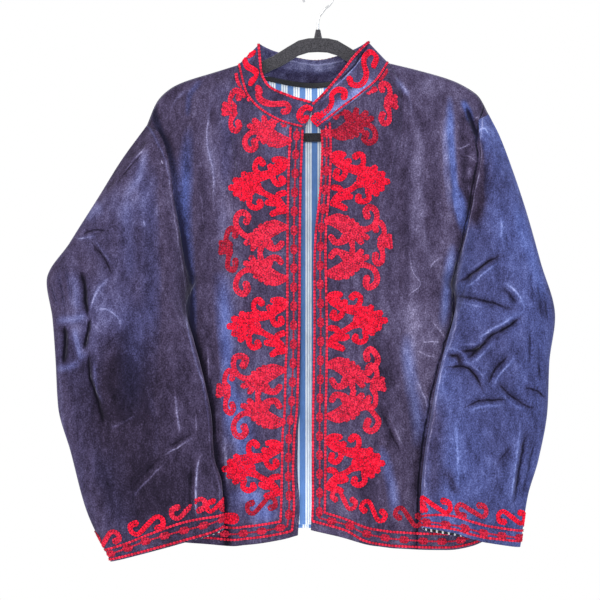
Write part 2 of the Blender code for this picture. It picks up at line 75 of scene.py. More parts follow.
# How far inside the neckline's ends the tape ends, as a share of the way across.
TAPE_ENDS = 0.03
# The panels' usual width and lengths, which turn shares into millimetres beside their seams.
FRONT_WIDTH = 215.0
FRONT_LENGTH = 590.0
BACK_LENGTH = 630.0
# Beside a seam or an edge the cloth rolls in.
ROLL_REACH = 2.6
ROLL_DEPTH = 1.0

# The lean of a front's columns beside the neck: how far, how wide a share of them, how soon below the top,
# and between which shares of the way down it fades.
NECK_LEAN = 22.0
NECK_LEAN_WIDTH = 0.2
NECK_LEAN_START = 0.02
NECK_LEAN_FADE = (0.1, 0.5)

# The share of a front's top edge that is neckline; the rest is shoulder.
NECK_SHARE = 0.48
# Where the back's neckline starts and ends, as shares of its top edge.
BACK_PARTS = (0.31, 0.69)
# The back half of an armhole is flatter than its front half.
BACK_ARMHOLE = 0.8
# How far across a front the depth of its free edge is still felt.
EDGE_DEPTH_REACH = 0.6
# A fold deepens over the first share of its length and fades from the second.
FOLD_ENDS = (0.3, 0.75)
# The step, as a share of a sheet, over which its directions are measured.
NORMAL_STEP = 0.002
# Where the armhole ends, as a share of the way down the side of the body.
UNDERARM = 0.41
# Where a panel starts to turn to its side seam, as a share of the way to it.
SIDE_TURN = 0.76
# The round over the hanger, and how softly it starts beside the neck.
RIDGE_RADIUS = 5.0
RIDGE_FADE = 0.10
# How square a sleeve's ring is. A circle has 2.
SLEEVE_SQUARENESS = 2.3
# How much lower the hidden half of a cuff hangs, and where its drop and its hitch start on the way down.
CUFF_DROP = {"right": 6.0, "left": 4.5}
CUFF_DROP_START = 0.8
CUFF_HITCH_START = 0.9
# The share of the way down over which a sleeve leaves the armhole's shape.
CAP_FADE = 0.3
# Creases fade towards seams: over shares of the way down from the top, and of the way in from a side.
PANEL_SLACK = (0.06, 0.12)
SLEEVE_SLACK = 0.05
# A front is calmer beside its free edge, and how far across that is felt.
EDGE_CALM = 0.4
EDGE_CALM_REACH = 0.5

# The neckline and the collar's upper edge, from the right front round the back to the left front.
# Columns: seam x, seam y, seam z, upper edge x, y, z.
NECK = [
    (-19.6, -57, -212.5, -12.3, -46, -175),
    (-48, -52, -204, -37, -40, -165.5),
    (-84, -38, -181, -67, -25, -149),
    (-100, -25, -158, -77.5, -13, -126),
    (-110, 0, -118, -80.5, 0, -88.5),
    (-79, 28, -127, -60, 9, -97),
    (-6, 38, -137, -3, 12, -109),
    (67, 28, -125, 49, 9, -95),
    (97, 0, -115.5, 68, 0, -85),
    (80, -30, -144, 48, -22, -108),
    (60, -42, -164, 33, -32, -129),
    (26, -53.5, -192, 10, -43, -158),
    (2.5, -57, -213, -6.5, -46, -176.5),
]
RIGHT_NECK_PLACE = 4
LEFT_NECK_PLACE = 8

# Along each shoulder from the neck to the end over the upper arm. Columns: x, z.
SHOULDER = {
    "right": [(-110, -118), (-147, -129.5), (-184, -141), (-203, -150), (-222, -168), (-237, -202)],
    "left": [(97, -115.5), (140, -126), (184, -139), (205, -149), (222, -161.5), (235.7, -186)],
}

# Down each side: the armhole, then the side seam. Columns: z, x, half depth of the armhole.
SIDE = {
    "right": [(-202, -237, 0), (-213, -219, 19), (-238, -208, 27), (-265, -202, 33), (-307, -196.5, 36),
              (-337, -190.5, 36), (-382, -184, 32), (-418, -178, 20), (-434, -176, 0), (-452, -184, 0),
              (-500, -188, 0), (-600, -199, 0), (-768, -213, 0)],
    "left": [(-186, 235.7, 0), (-198, 220, 19), (-226, 221, 27), (-252, 221, 32), (-289, 213.5, 36),
             (-325, 207, 36), (-363, 198.5, 33), (-407, 188, 20), (-425, 185, 0), (-443, 193, 0),
             (-500, 199, 0), (-600, 213, 0), (-768, 238, 0)],
}

# Each front's free edge. Columns: share of the way down, x.
FRONT_EDGE = {
    "right": [(0, -19.6), (0.12, -22.3), (0.3, -23.7), (0.5, -23.9), (0.68, -25), (0.76, -28.3),
              (0.83, -28.8), (0.93, -25.6), (1, -28)],
    "left": [(0, 3.3), (0.04, 4.4), (0.13, 2.8), (0.2, -0.8), (0.27, -4.8), (0.34, -6.2), (0.48, -6.3),
             (0.62, -7.5), (0.76, -8.9), (0.9, -8.9), (1, -10.2)],
}

# Each front's hem. Columns: share of the way across, x, z.
FRONT_HEM = {
    "right": [(0, -28, -760), (0.12, -50, -766), (0.35, -94, -773.2), (0.46, -113, -774.5),
              (0.64, -147, -772), (1, -213, -768)],
    "left": [(0, -10.2, -753), (0.17, 29, -762.3), (0.35, 73, -774.5), (0.5, 110, -778), (0.74, 172, -780),
             (0.88, 206, -776), (1, 238, -768)],
}
BACK_HEM = [(0, -213, -768), (0.5, 8, -765), (1, 238, -768)]

# How far the panels stand off the plane of the hanger.
# Columns: share of the way down, share of the full depth, full depth at the free edge, and elsewhere.
FRONT_DEPTH = [(0, 0, 57, 46), (0.05, 0.32, 59, 46), (0.12, 0.55, 60, 46), (0.25, 0.8, 59, 46),
               (0.45, 0.97, 58, 47), (0.7, 1, 57, 49), (1, 1, 56, 51)]
# Columns: share of the way down, share of the full depth, full depth.
BACK_DEPTH = [(0, 0, 34), (0.05, 0.35, 34), (0.12, 0.6, 34), (0.25, 0.85, 35), (0.5, 1, 36), (1, 1, 37)]

# A sleeve's outer fold and inner fold, from the armhole to the cuff, and its thickness about them.
# Columns: outer x, y, z, inner x, y, z, half thickness forward, half thickness back.
SLEEVE = {
    "right": [
        (-237, 0, -202, -176, 0, -434, 33, 26),
        (-270, -10, -250, -178, -10, -446, 34, 25),
        (-303, -19, -306, -178, -22, -459, 33, 23),
        (-339, -27, -365.5, -175, -38, -477, 31, 20),
        (-369, -34, -417.5, -169, -51, -498, 28, 16),
        (-360, -41, -467.5, -160.5, -60, -526, 26, 14),
        (-354.5, -48, -524.5, -152, -67, -559, 24, 13),
        (-350, -54, -586.5, -143.5, -72, -601, 22, 12),
        (-332.5, -60, -645.5, -140.5, -75, -649.5, 21, 12),
        (-310, -66, -724.5, -129.5, -76, -690, 19, 12),
        (-277.5, -69, -792, -126.8, -77, -749.5, 17, 12),
    ],
    "left": [
        (235.7, 0, -186, 185, 0, -425, 33, 26),
        (249, -10, -216, 186, -9, -437, 34, 25),
        (267, -19, -268, 187, -21, -451, 33, 23),
        (283.5, -27, -323, 184, -38, -468, 31, 20),
        (301.5, -34, -391.5, 177, -51, -490, 29, 17),
        (320, -41, -465, 168, -60, -518, 28, 15),
        (311, -48, -527, 158, -67, -556, 27, 14),
        (307.5, -54, -589.5, 149, -72, -604, 26, 14),
        (294.5, -60, -656.5, 141, -75, -654, 24, 14),
        (279, -66, -705.5, 137, -76, -699, 22, 13),
        (268.5, -69, -772.5, 136.7, -77, -748, 20, 13),
    ],
}
# The collar's ends swell towards each other, over a share of its length at each.
# Columns: share of the way up, how far the right end swells, how far the left end does.
COLLAR_ENDS = [(0, 0.0, 0.0), (0.15, 2.4, 4.6), (0.35, 4.2, 8.5), (0.6, 5.5, 6.5), (1, 4.6, 0.0)]
COLLAR_END_REACH = 0.05

# How far the front of a cuff is hitched up. Columns: angle round the sleeve, lift.
CUFF_HITCH = {
    "right": [(0, 0), (2.4, 0), (3.0, 2), (3.6, 0), (6.3, 0)],
    "left": [(0, 0), (1.35, 0), (1.6, 2), (1.88, 5), (2.2, 5), (2.6, 4), (3.1, 3), (3.7, 0), (6.3, 0)],
}

# The largest soft folds. Columns: x and z at the upper end, x and z at the lower end, half width, depth.
FRONT_FOLDS = {
    "right": [
        (-150, -150, -152, -400, 14, 4.5),
        (-124, -320, -118, -740, 15, 6),
        (-86, -560, -76, -750, 16, 3),
    ],
    "left": [
        (196, -172, 205, -300, 11, 5),
        (150, -175, 158, -460, 15, 4.5),
        (118, -420, 150, -740, 16, 5.5),
        (70, -600, 82, -760, 15, 3),
    ],
}
BACK_FOLDS = [
    (-128, -190, -140, -700, 18, 5),
    (-40, -330, -52, -750, 20, 4),
    (52, -300, 60, -740, 18, 5),
    (146, -200, 150, -690, 18, 5),
]
SLEEVE_FOLDS = {
    "right": [
        (-346, -330, -300, -428, 14, 5),
        (-318, -450, -322, -560, 11, 4),
        (-196, -560, -232, -500, 12, 4),
        (-196, -645, -262, -700, 12, 4),
        (-225, -330, -262, -470, 16, 4),
    ],
    "left": [
        (240, -345, 292, -400, 11, 4),
        (222, -500, 262, -600, 12, 5),
        (300, -520, 236, -600, 12, 4),
        (262, -640, 272, -745, 11, 5),
        (196, -570, 236, -560, 11, 4),
    ],
}

# Creases and marks in the nap. A crease sinks in if its depth is above 0 and stands up if it is below.
# Columns: its line as (x, z) places, half width, depth, how much lighter its nap lies, how much bluer.
# Both of these are partly the crushed nap and partly painted shade, painted highlights and painted cool
# light along the creases.
FRONT_CREASES = {
    "right": [
        ([(-178, -200), (-180, -273), (-182, -343), (-174, -430), (-163, -497)], 9, 1.6, -0.4, 1.0),
        ([(-165, -215), (-159, -313), (-157, -372), (-160, -470), (-151, -577)], 8, -1.2, -0.3, -0.3),
        ([(-146, -158), (-152, -214), (-150, -240), (-143, -269), (-143, -330)], 2.5, -0.7, 0.5, 0.1),
        ([(-136, -220), (-132, -296), (-126, -380)], 11, 0.8, 0.35, 0.1),
        ([(-160, -297), (-155, -345)], 1.8, -0.6, 0.5, 0.1),
        ([(-150, -500), (-147, -565)], 2, -0.6, 0.5, 0.1),
        ([(-131, -400), (-125, -500), (-118, -640)], 11, 1.6, 0.3, 0.95),
        ([(-139, -585), (-136, -645)], 2.5, -0.8, 0.5, 0.0),
        ([(-127, -620), (-123, -700)], 4, -1.0, 0.6, 0.1),
        ([(-104, -690), (-78, -724), (-60, -745)], 16, 0, 0.35, 0.9),
        ([(-118, -690), (-112, -750)], 9, 0, 0.25, 0.3),
        ([(-190, -470), (-176, -560), (-160, -640), (-150, -740)], 7, 1.4, -0.35, 0.1),
        ([(-168, -260), (-148, -262)], 1.6, 0.5, 0.2, 0.0),
        ([(-95, -150), (-120, -205), (-126, -300)], 8, 0.6, -0.1, 0.1),
        ([(-178, -150), (-196, -168), (-205, -190)], 3.5, 0.9, 0.3, 0.2),
        ([(-160, -138), (-176, -162), (-180, -196)], 4, 0.9, -0.2, 0.5),
        ([(-116, -560), (-104, -620), (-94, -690)], 13, 0, 0.2, 0.85),
        ([(-148, -470), (-143, -540), (-140, -640)], 7, 0, -0.25, -0.5),
    ],
    "left": [
        ([(180, -160), (181, -213), (182, -245), (185, -280), (189, -315), (196, -351)], 5, 3.2, 0.15, 1.5),
        ([(174, -175), (173, -245), (175, -300), (180, -345)], 5, -1.4, 0.45, 0.3),
        ([(195, -180), (199, -225), (200, -270), (206, -320)], 7, -1.2, -0.7, -0.3),
        ([(202, -176), (208, -193), (214, -209), (220, -230)], 4.4, 3.6, -1.6, 0.5),
        ([(199, -168), (205, -186), (210, -200)], 4.6, 0, -0.15, 1.4),
        ([(184, -361), (176, -415), (168, -490)], 8, 1.2, 0.5, 0.9),
        ([(133, -205), (137, -309), (130, -380)], 11, 0.8, 0.5, 0.05),
        ([(118, -200), (118, -363), (112, -470)], 7, -1.0, -0.25, -0.3),
        ([(151, -200), (155, -319), (150, -380)], 8, -1.0, -0.3, -0.3),
        ([(122, -372), (126, -404), (138, -422), (117, -441)], 1.8, -1.0, 0.5, 0.1),
        ([(172, -383), (157, -392), (149, -403)], 2.2, -0.9, 0.5, 0.1),
        ([(198, -281), (204, -271), (208, -262)], 4.6, -1.0, 0.9, 0.1),
        ([(199, -288), (206, -293), (211, -302)], 5, -0.6, 0.9, 0.1),
        ([(78, -430), (77, -604), (71, -720)], 7, -0.8, -0.3, -0.3),
        ([(124, -440), (128, -504), (118, -560)], 12, 0.4, 0.45, 0.05),
        ([(116, -484), (124, -550), (134, -606), (132, -650)], 10, 1.2, 0.35, 0.6),
        ([(144, -430), (150, -500), (146, -590)], 22, 0, 0.2, 0.0),
        ([(150, -134), (156, -148), (158, -166)], 12, 0, 0.4, 0.05),
        ([(80, -632), (96, -685), (106, -745)], 9, 1.5, 0.25, 0.8),
        ([(81, -583), (96, -619), (114, -656)], 3.0, 1.9, -0.5, 0.0),
        ([(86, -575), (101, -612), (119, -650)], 2.4, -0.8, 0.4, 0.1),
        ([(126, -534), (144, -577), (152, -600)], 2.2, -1.2, 0.5, 0.1),
        ([(138, -501), (152, -499), (167, -500)], 1.8, -0.9, 0.6, 0.0),
        ([(129, -510), (146, -517), (163, -520)], 2.0, -0.7, 0.4, 0.0),
        ([(144, -466), (158, -480), (169, -496)], 2.6, 1.4, -0.2, 0.1),
        ([(150, -470), (164, -484), (173, -498)], 2.0, -1.0, 0.6, 0.0),
        ([(132, -600), (150, -650), (152, -740)], 6, 1.2, -0.3, 0.0),
        ([(60, -640), (64, -740)], 9, 0, -0.15, 0.1),
        ([(98, -130), (122, -160), (128, -200)], 4, 0.8, 0.35, 0.1),
        ([(108, -124), (112, -170), (104, -230)], 7, 0.5, -0.2, 0.1),
        ([(110, -152), (124, -172), (138, -196), (145, -216)], 6, 1.0, -0.5, 0.0),
        ([(104, -142), (114, -152), (124, -164)], 5, -0.6, 0.5, 0.2),
        ([(126, -128), (129, -142), (131, -154)], 6, 0, -0.45, 0.0),
        ([(112, -205), (113, -240), (110, -268)], 7, 0, 0.3, 0.0),
        ([(188, -238), (199, -234), (209, -229)], 2.0, -0.8, 0.8, 0.0),
        ([(196, -246), (206, -248), (216, -256)], 1.6, -0.6, 0.7, 0.0),
        ([(214, -196), (219, -192), (222, -200)], 2.0, -0.6, 0.8, 0.0),
        ([(188, -290), (195, -320), (202, -356)], 9, 0, 0.15, 1.3),
        ([(88, -500), (90, -600), (92, -640)], 8, 0, -0.3, -0.3),
    ],
}
SLEEVE_CREASES = {
    "right": [
        ([(-226, -212), (-216, -209), (-207, -226), (-203, -246)], 2.0, -1.0, 0.8, 0.3),
        ([(-238, -240), (-257, -262), (-277, -290)], 2.6, 1.8, -0.5, 0.0),
        ([(-232, -228), (-250, -250), (-271, -276)], 2.4, -0.8, 0.6, 0.0),
        ([(-235, -232), (-240, -262), (-248, -284), (-266, -306)], 6, -1.6, 0.65, 0.15),
        ([(-322, -355), (-304, -349), (-277, -351)], 2.6, 2.2, -0.5, 0.0),
        ([(-330, -358), (-318, -360), (-300, -356)], 2.0, -0.9, 0.7, 0.2),
        ([(-310, -362), (-294, -380), (-282, -398), (-276, -413)], 2.3, 2.2, -0.7, 0.0),
        ([(-304, -360), (-289, -379), (-276, -398)], 2.2, -0.9, 0.4, 0.1),
        ([(-277, -352), (-275, -374)], 2.0, 0.9, -0.3, 0.0),
        ([(-322, -400), (-315, -422), (-311, -446), (-309, -470)], 4.5, 4.2, -1.5, 0.0),
        ([(-332, -404), (-326, -432), (-322, -462)], 6.5, -1.4, 0.45, 0.2),
        ([(-305, -462), (-302, -443), (-293, -426), (-279, -412)], 3.2, -1.6, 0.65, 0.15),
        ([(-356, -473), (-332, -469), (-308, -464)], 5.5, -1.8, 0.55, 0.3),
        ([(-362, -421), (-356, -440), (-350, -452)], 2.0, 1.0, -0.3, 0.1),
        ([(-352, -405), (-345, -430), (-342, -455)], 2.2, 1.0, -0.3, 0.1),
        ([(-340, -400), (-334, -430), (-331, -452)], 2.4, 0.9, -0.2, 0.1),
        ([(-305, -466), (-309, -486), (-315, -512)], 4.5, 4.0, -1.5, 0.0),
        ([(-306, -505), (-305, -540), (-296, -570), (-282, -618)], 3.6, 3.6, -1.4, 0.0),
        ([(-299, -520), (-297, -555), (-286, -584)], 2.6, -1.1, 0.5, 0.2),
        ([(-306, -509), (-285, -504), (-264, -485)], 2.2, 1.2, -0.3, 0.0),
        ([(-342, -472), (-339, -505), (-343, -534)], 4.5, 4.0, -1.6, 0.0),
        ([(-354, -536), (-334, -534), (-318, -524)], 5, -1.8, 0.55, 0.3),
        ([(-326, -478), (-324, -500), (-318, -520), (-308, -512)], 4.6, -1.6, 0.5, 0.3),
        ([(-280, -615), (-258, -604), (-240, -595)], 2.2, -0.9, 0.45, 0.1),
        ([(-249, -707), (-227, -682), (-199, -654)], 2.3, -1.5, 0.7, 0.15),
        ([(-253, -700), (-232, -674), (-206, -648)], 3.0, 1.3, -0.3, 0.0),
        ([(-208, -649), (-188, -639), (-175, -630), (-160, -624)], 2.3, -1.8, 0.9, 0.2),
        ([(-205, -640), (-186, -630), (-166, -619)], 3.2, 1.5, -0.4, 0.0),
        ([(-191, -558), (-187, -599), (-181, -628)], 3.0, -1.4, 0.7, 0.2),
        ([(-163, -592), (-162, -622)], 2.2, -1.0, 0.5, 0.1),
        ([(-153, -640), (-160, -662), (-163, -705), (-160, -742)], 2.8, -2.2, 1.1, 0.3),
        ([(-168, -650), (-171, -700), (-168, -735)], 3.6, 1.6, -0.4, 0.0),
        ([(-240, -240), (-226, -330), (-220, -420), (-222, -520)], 16, 0.8, -0.2, 0.2),
        ([(-214, -230), (-200, -330), (-190, -440), (-186, -540)], 12, -0.8, -0.05, -0.35),
        ([(-262, -300), (-258, -350), (-252, -420)], 10, -1.0, 0.3, 0.15),
        ([(-236, -335), (-234, -345)], 2.2, -0.6, 0.9, 0.1),
        ([(-214, -252), (-212, -258)], 1.6, -0.5, 1.2, 0.2),
        ([(-252, -440), (-246, -520), (-252, -610)], 20, 0.8, -0.25, 0.25),
        ([(-352, -600), (-334, -680), (-312, -745)], 8, 0.6, 0.35, 0.2),
        ([(-300, -480), (-250, -620), (-215, -760)], 62, 0, -0.75, -0.1),
        ([(-250, -320), (-245, -400), (-240, -460)], 30, 0, -0.4, -0.1),
        ([(-200, -280), (-196, -400), (-188, -560)], 20, 0, 0.05, -0.35),
        ([(-300, -640), (-270, -720), (-256, -760)], 14, 0.8, -0.15, 0.1),
        ([(-225, -560), (-213, -620), (-222, -668)], 7, 1.0, 0.15, 0.1),
        ([(-303, -461), (-293, -456), (-277, -458), (-264, -474), (-268, -490)], 1.9, -0.9, 0.55, 0.1),
        ([(-360, -500), (-356, -520), (-358, -548)], 2.6, 1.0, -0.6, 0.0),
        ([(-300, -480), (-288, -474), (-278, -482)], 7, -0.6, 0.1, 0.0),
        ([(-316, -336), (-306, -322), (-292, -316)], 10, 0, 0.5, 0.2),
    ],
    "left": [
        ([(212, -226), (220, -212), (228, -209), (236, -222)], 1.8, -0.9, 0.8, 0.2),
        ([(219, -222), (222, -240), (218, -262)], 5, 1.0, -0.5, -0.6),
        ([(227, -230), (228, -262), (226, -309)], 4, 0.8, -0.2, 0.3),
        ([(246, -381), (228, -391), (214, -404), (201, -414), (186, -420)], 3.0, 3.4, -1.0, -0.4),
        ([(246, -390), (229, -401), (216, -413), (204, -424), (192, -428)], 2.4, -1.6, 0.5, 0.1),
        ([(200, -404), (214, -396), (226, -386)], 2.6, -1.3, 0.35, 0.0),
        ([(243, -419), (256, -425), (268, -440), (276, -456)], 2.6, -2.0, 0.6, 0.1),
        ([(244, -427), (254, -434), (265, -450)], 4.0, 2.0, -0.5, -0.1),
        ([(277, -456), (266, -462), (248, -473), (231, -482), (214, -494), (204, -505)], 2.9, -2.2, 0.6, 0.1),
        ([(274, -464), (250, -480), (232, -490), (216, -503)], 3.2, 3.2, -1.0, -0.3),
        ([(180, -436), (204, -441), (233, -447), (256, -455), (268, -455)], 3.2, 2.0, -0.7, -0.2),
        ([(182, -446), (206, -450), (230, -456)], 2.6, -0.9, 0.3, 0.0),
        ([(246, -330), (245, -366)], 3.2, -1.0, 0.5, 0.1),
        ([(252, -352), (254, -382)], 3.0, 0.9, -0.3, 0.0),
        ([(223, -317), (210, -329)], 2.0, 0.9, -0.3, 0.0),
        ([(294, -420), (298, -469)], 2.4, 1.3, -0.5, 0.0),
        ([(302, -430), (306, -470)], 2.4, 1.2, -0.4, 0.0),
        ([(284, -400), (288, -450)], 3.0, 0.9, -0.3, 0.0),
        ([(281, -480), (280, -535)], 2.6, 1.3, -0.5, 0.0),
        ([(293, -490), (295, -560)], 2.6, 1.1, -0.4, 0.0),
        ([(272, -560), (291, -565), (304, -576)], 2.4, 2.0, -0.8, -0.2),
        ([(184, -504), (208, -502), (220, -493)], 2.5, -1.7, 0.4, 0.0),
        ([(186, -511), (206, -510), (220, -502)], 3.0, 2.6, -0.9, -0.3),
        ([(233, -498), (215, -516), (200, -530)], 2.4, -1.9, 0.5, 0.1),
        ([(228, -494), (210, -510), (196, -522)], 2.8, 2.3, -0.8, -0.3),
        ([(168, -508), (186, -509), (193, -520), (194, -534)], 2.4, -1.9, 0.6, 0.0),
        ([(172, -516), (184, -518), (187, -530)], 3.4, 2.4, -0.9, -0.6),
        ([(167, -535), (190, -531), (207, -542), (219, -566)], 2.6, 2.8, -1.0, -0.4),
        ([(172, -528), (190, -524), (210, -536), (224, -556)], 2.6, -1.4, 0.4, 0.0),
        ([(229, -561), (241, -541), (264, -516)], 2.5, -1.9, 0.6, 0.1),
        ([(222, -556), (235, -536), (255, -514)], 3.0, 2.0, -0.7, -0.2),
        ([(190, -587), (211, -577), (230, -576), (252, -576)], 2.3, 2.4, -0.9, -0.3),
        ([(192, -593), (212, -584), (230, -583), (250, -582)], 2.4, -1.2, 0.4, 0.1),
        ([(235, -551), (257, -572), (279, -585), (292, -588)], 2.4, 2.4, -0.9, -0.3),
        ([(232, -558), (254, -579), (276, -592)], 2.6, -1.2, 0.4, 0.1),
        ([(181, -600), (184, -699)], 2.6, -0.7, 0.35, 0.1),
        ([(268, -596), (259, -674), (251, -726)], 2.6, -1.5, 0.6, 0.1),
        ([(277, -606), (265, -674), (258, -722)], 3.4, 2.2, -0.7, -0.1),
        ([(290, -620), (276, -680), (268, -716)], 2.8, 1.2, -0.4, 0.0),
        ([(257, -633), (232, -664)], 3.4, 1.0, -0.4, -0.1),
        ([(168, -664), (182, -702)], 6, 0.9, -0.5, -0.4),
        ([(158, -560), (154, -630), (150, -730)], 13, 0, -0.3, -0.6),
        ([(190, -455), (230, -465), (270, -470)], 22, 0, 0.25, 0.1),
        ([(195, -250), (192, -330), (186, -420)], 8, 0, -0.1, -0.4),
        ([(240, -262), (252, -300), (262, -350)], 12, 0.4, -0.2, -0.1),
        ([(262, -310), (288, -380), (306, -450)], 9, -0.4, 0.2, 0.3),
        ([(210, -610), (216, -680), (206, -720)], 12, 0.6, 0.1, 0.1),
        ([(228, -236), (224, -270), (217, -310), (208, -350)], 9, 0, -0.2, -0.9),
    ],
}
# Painted shadow, a little blue, on the body's nap along the armholes and behind the sleeves' inner edges,
# front and back.
SLEEVE_SHADOWS = {
    "right": [
        ([(-262, -70), (-237, -150), (-219, -208), (-204, -238), (-198, -265), (-192, -307), (-186.5, -337),
          (-180, -382), (-175, -425), (-172, -470), (-160, -520), (-150, -560)], 5, 0, -1.2, 0.5),
        ([(-186, -340), (-179, -390), (-174, -434), (-172, -480), (-163, -510), (-152, -550), (-143, -600),
          (-138, -650), (-128, -700), (-124, -760), (-118, -830), (-112, -900)], 5, 0, -1.3, 0.2),
    ],
    "left": [
        ([(262, -60), (240, -140), (222, -196), (216, -226), (217, -252), (209.5, -289), (203, -325),
          (194.5, -363), (184, -407), (182, -440), (180, -480), (170, -510)], 1.8, 0, -1.1, 0.3),
        ([(200, -330), (190, -385), (183, -430), (182, -468), (174, -490), (165, -518), (155, -556),
          (146, -604), (138, -654), (134, -699), (133, -748), (131, -830), (130, -900)], 2.2, 0, -1.1, 0.3),
    ],
}
# And painted highlights along the sleeves' own edges.
SLEEVE_EDGE_HIGHLIGHTS = {
    "right": [
        ([(-275, -120), (-250, -180), (-229, -212), (-214, -240), (-206, -265), (-200, -307), (-194.5, -337),
          (-188, -382), (-181, -425), (-180, -470), (-170, -505), (-158, -540)], 1.8, 0, 0.3, 0.3),
        ([(-200, -300), (-190, -370), (-182, -430), (-180, -465), (-172, -500), (-155, -556), (-147, -601),
          (-144, -650), (-133, -690), (-130, -750), (-125, -830), (-120, -900)], 1.8, 0, 0.35, 0.2),
    ],
    "left": [
        ([(270, -80), (250, -150), (228, -190), (222, -226), (222.5, -252), (215, -289), (208.5, -325),
          (200, -363), (190, -407), (188, -440), (184, -480), (172, -520)], 1.6, 0, 0.6, -0.2),
        ([(206, -330), (196, -385), (188, -430), (187, -466), (179, -494), (168, -524), (160, -558),
          (152, -604), (143.5, -654), (139.5, -699), (139, -748), (137, -830), (135, -900)],
         1.6, 0, 0.6, -0.2),
    ],
}
# The hidden sides are creased in the same way.
BACK_CREASES = [
    ([(-150, -170), (-168, -240), (-176, -330)], 4, 2.2, -0.4, 0.2),
    ([(-142, -176), (-158, -246), (-166, -330)], 3, -1.2, 0.5, 0.1),
    ([(150, -165), (166, -230), (172, -320)], 4, 2.4, -0.4, 0.2),
    ([(141, -172), (156, -236), (162, -320)], 3, -1.2, 0.5, 0.1),
    ([(-100, -180), (-104, -300), (-96, -430)], 10, 1.0, 0.3, 0.1),
    ([(-20, -170), (-24, -300), (-16, -460)], 12, 1.0, -0.2, 0.0),
    ([(60, -190), (66, -330), (58, -480)], 10, 1.0, 0.2, 0.2),
    ([(-170, -470), (-150, -560), (-146, -700)], 6, 2.0, -0.3, 0.1),
    ([(176, -460), (160, -560), (160, -690)], 6, 2.0, -0.3, 0.1),
    ([(-60, -420), (-80, -520), (-82, -620)], 3.4, -1.5, 0.6, 0.1),
    ([(14, -400), (22, -520), (18, -640)], 4, 1.6, -0.4, 0.0),
    ([(100, -430), (112, -520), (108, -600)], 3.4, -1.5, 0.6, 0.1),
    ([(-120, -620), (-96, -650), (-60, -664)], 2.6, 1.8, -0.5, 0.0),
    ([(70, -660), (104, -640), (136, -646)], 2.6, 1.8, -0.5, 0.0),
    ([(-10, -690), (30, -676), (60, -690)], 2.6, -1.2, 0.4, 0.1),
    ([(-196, -640), (-186, -720)], 8, 0.8, 0.2, 0.6),
    ([(206, -600), (212, -720)], 8, 0.8, 0.2, 0.6),
    ([(-70, -150), (-90, -180), (-96, -230)], 4, 0.9, 0.3, 0.1),
    ([(64, -150), (84, -180), (92, -230)], 4, 0.9, 0.3, 0.1),
    ([(-196, -230), (-188, -380), (-192, -560)], 12, 1.0, -0.3, 0.9),
    ([(-128, -190), (-134, -400), (-140, -690)], 10, 0, -0.25, -0.2),
    ([(-112, -220), (-116, -420), (-118, -660)], 7, 0, 0.4, 0.1),
    ([(-40, -330), (-46, -520), (-52, -740)], 11, 0, -0.3, 0.1),
    ([(-26, -320), (-32, -520), (-36, -720)], 6, -0.8, 0.35, 0.2),
    ([(52, -300), (56, -520), (60, -730)], 10, 0, -0.3, 0.0),
    ([(66, -280), (72, -480), (76, -700)], 6, -0.8, 0.4, 0.2),
    ([(150, -230), (152, -420), (152, -660)], 10, 0, -0.3, 0.2),
    ([(186, -300), (196, -460), (204, -640)], 10, 1.0, -0.2, 0.9),
    ([(-150, -330), (-120, -350), (-96, -352)], 2.2, -1.0, 0.5, 0.1),
    ([(116, -336), (90, -352), (60, -356)], 2.2, -1.0, 0.5, 0.1),
    ([(-172, -410), (-150, -430), (-120, -436)], 2.6, 1.6, -0.7, 0.0),
    ([(-168, -419), (-148, -439), (-124, -444)], 2.2, -1.0, 0.5, 0.1),
    ([(176, -404), (152, -426), (124, -432)], 2.6, 1.6, -0.7, 0.0),
    ([(172, -413), (150, -435), (128, -440)], 2.2, -1.0, 0.5, 0.1),
]
SLEEVE_BACK_CREASES = {
    "right": [
        ([(-226, -250), (-244, -330), (-262, -420)], 6, 1.8, -0.3, 0.1),
        ([(-330, -400), (-300, -420), (-262, -424)], 3, 2.6, -0.8, 0.0),
        ([(-334, -410), (-304, -431), (-268, -436)], 2.6, -1.4, 0.6, 0.1),
        ([(-342, -470), (-306, -478), (-258, -466), (-214, -474)], 3, 3.0, -0.9, 0.0),
        ([(-340, -480), (-304, -489), (-260, -477)], 2.6, -1.5, 0.7, 0.2),
        ([(-196, -500), (-238, -520), (-276, -512)], 3, 2.4, -0.8, 0.0),
        ([(-338, -540), (-290, -530), (-236, -548)], 3, 2.6, -0.8, 0.0),
        ([(-330, -550), (-288, -541), (-244, -558)], 2.4, -1.3, 0.6, 0.1),
        ([(-180, -560), (-206, -590), (-248, -600)], 3, 2.0, -0.6, 0.0),
        ([(-310, -600), (-296, -680), (-276, -740)], 4, 1.8, -0.5, 0.1),
        ([(-170, -620), (-180, -690), (-176, -730)], 4, 1.6, 0.4, 0.1),
        ([(-230, -630), (-236, -700)], 8, 0.9, 0.3, 0.2),
    ],
    "left": [
        ([(222, -240), (236, -310), (246, -390)], 6, 1.8, -0.3, 0.1),
        ([(296, -400), (262, -412), (222, -404)], 3, 2.6, -0.8, -0.2),
        ([(298, -411), (262, -423), (226, -415)], 2.6, -1.4, 0.5, 0.1),
        ([(304, -460), (262, -474), (214, -462), (186, -470)], 3, 3.0, -0.9, -0.2),
        ([(300, -471), (260, -485), (216, -473)], 2.6, -1.5, 0.6, 0.1),
        ([(180, -510), (222, -526), (262, -516)], 3, 2.4, -0.8, -0.2),
        ([(300, -540), (256, -532), (206, -550)], 3, 2.6, -0.8, -0.2),
        ([(294, -551), (256, -543), (212, -561)], 2.4, -1.3, 0.5, 0.1),
        ([(170, -570), (200, -596), (240, -604)], 3, 2.0, -0.6, -0.1),
        ([(286, -600), (274, -680), (262, -740)], 4, 1.8, -0.5, 0.0),
        ([(162, -620), (172, -690), (170, -730)], 4, 1.6, 0.4, 0.1),
        ([(220, -630), (224, -700)], 8, 0.9, 0.3, 0.1),
    ],
}
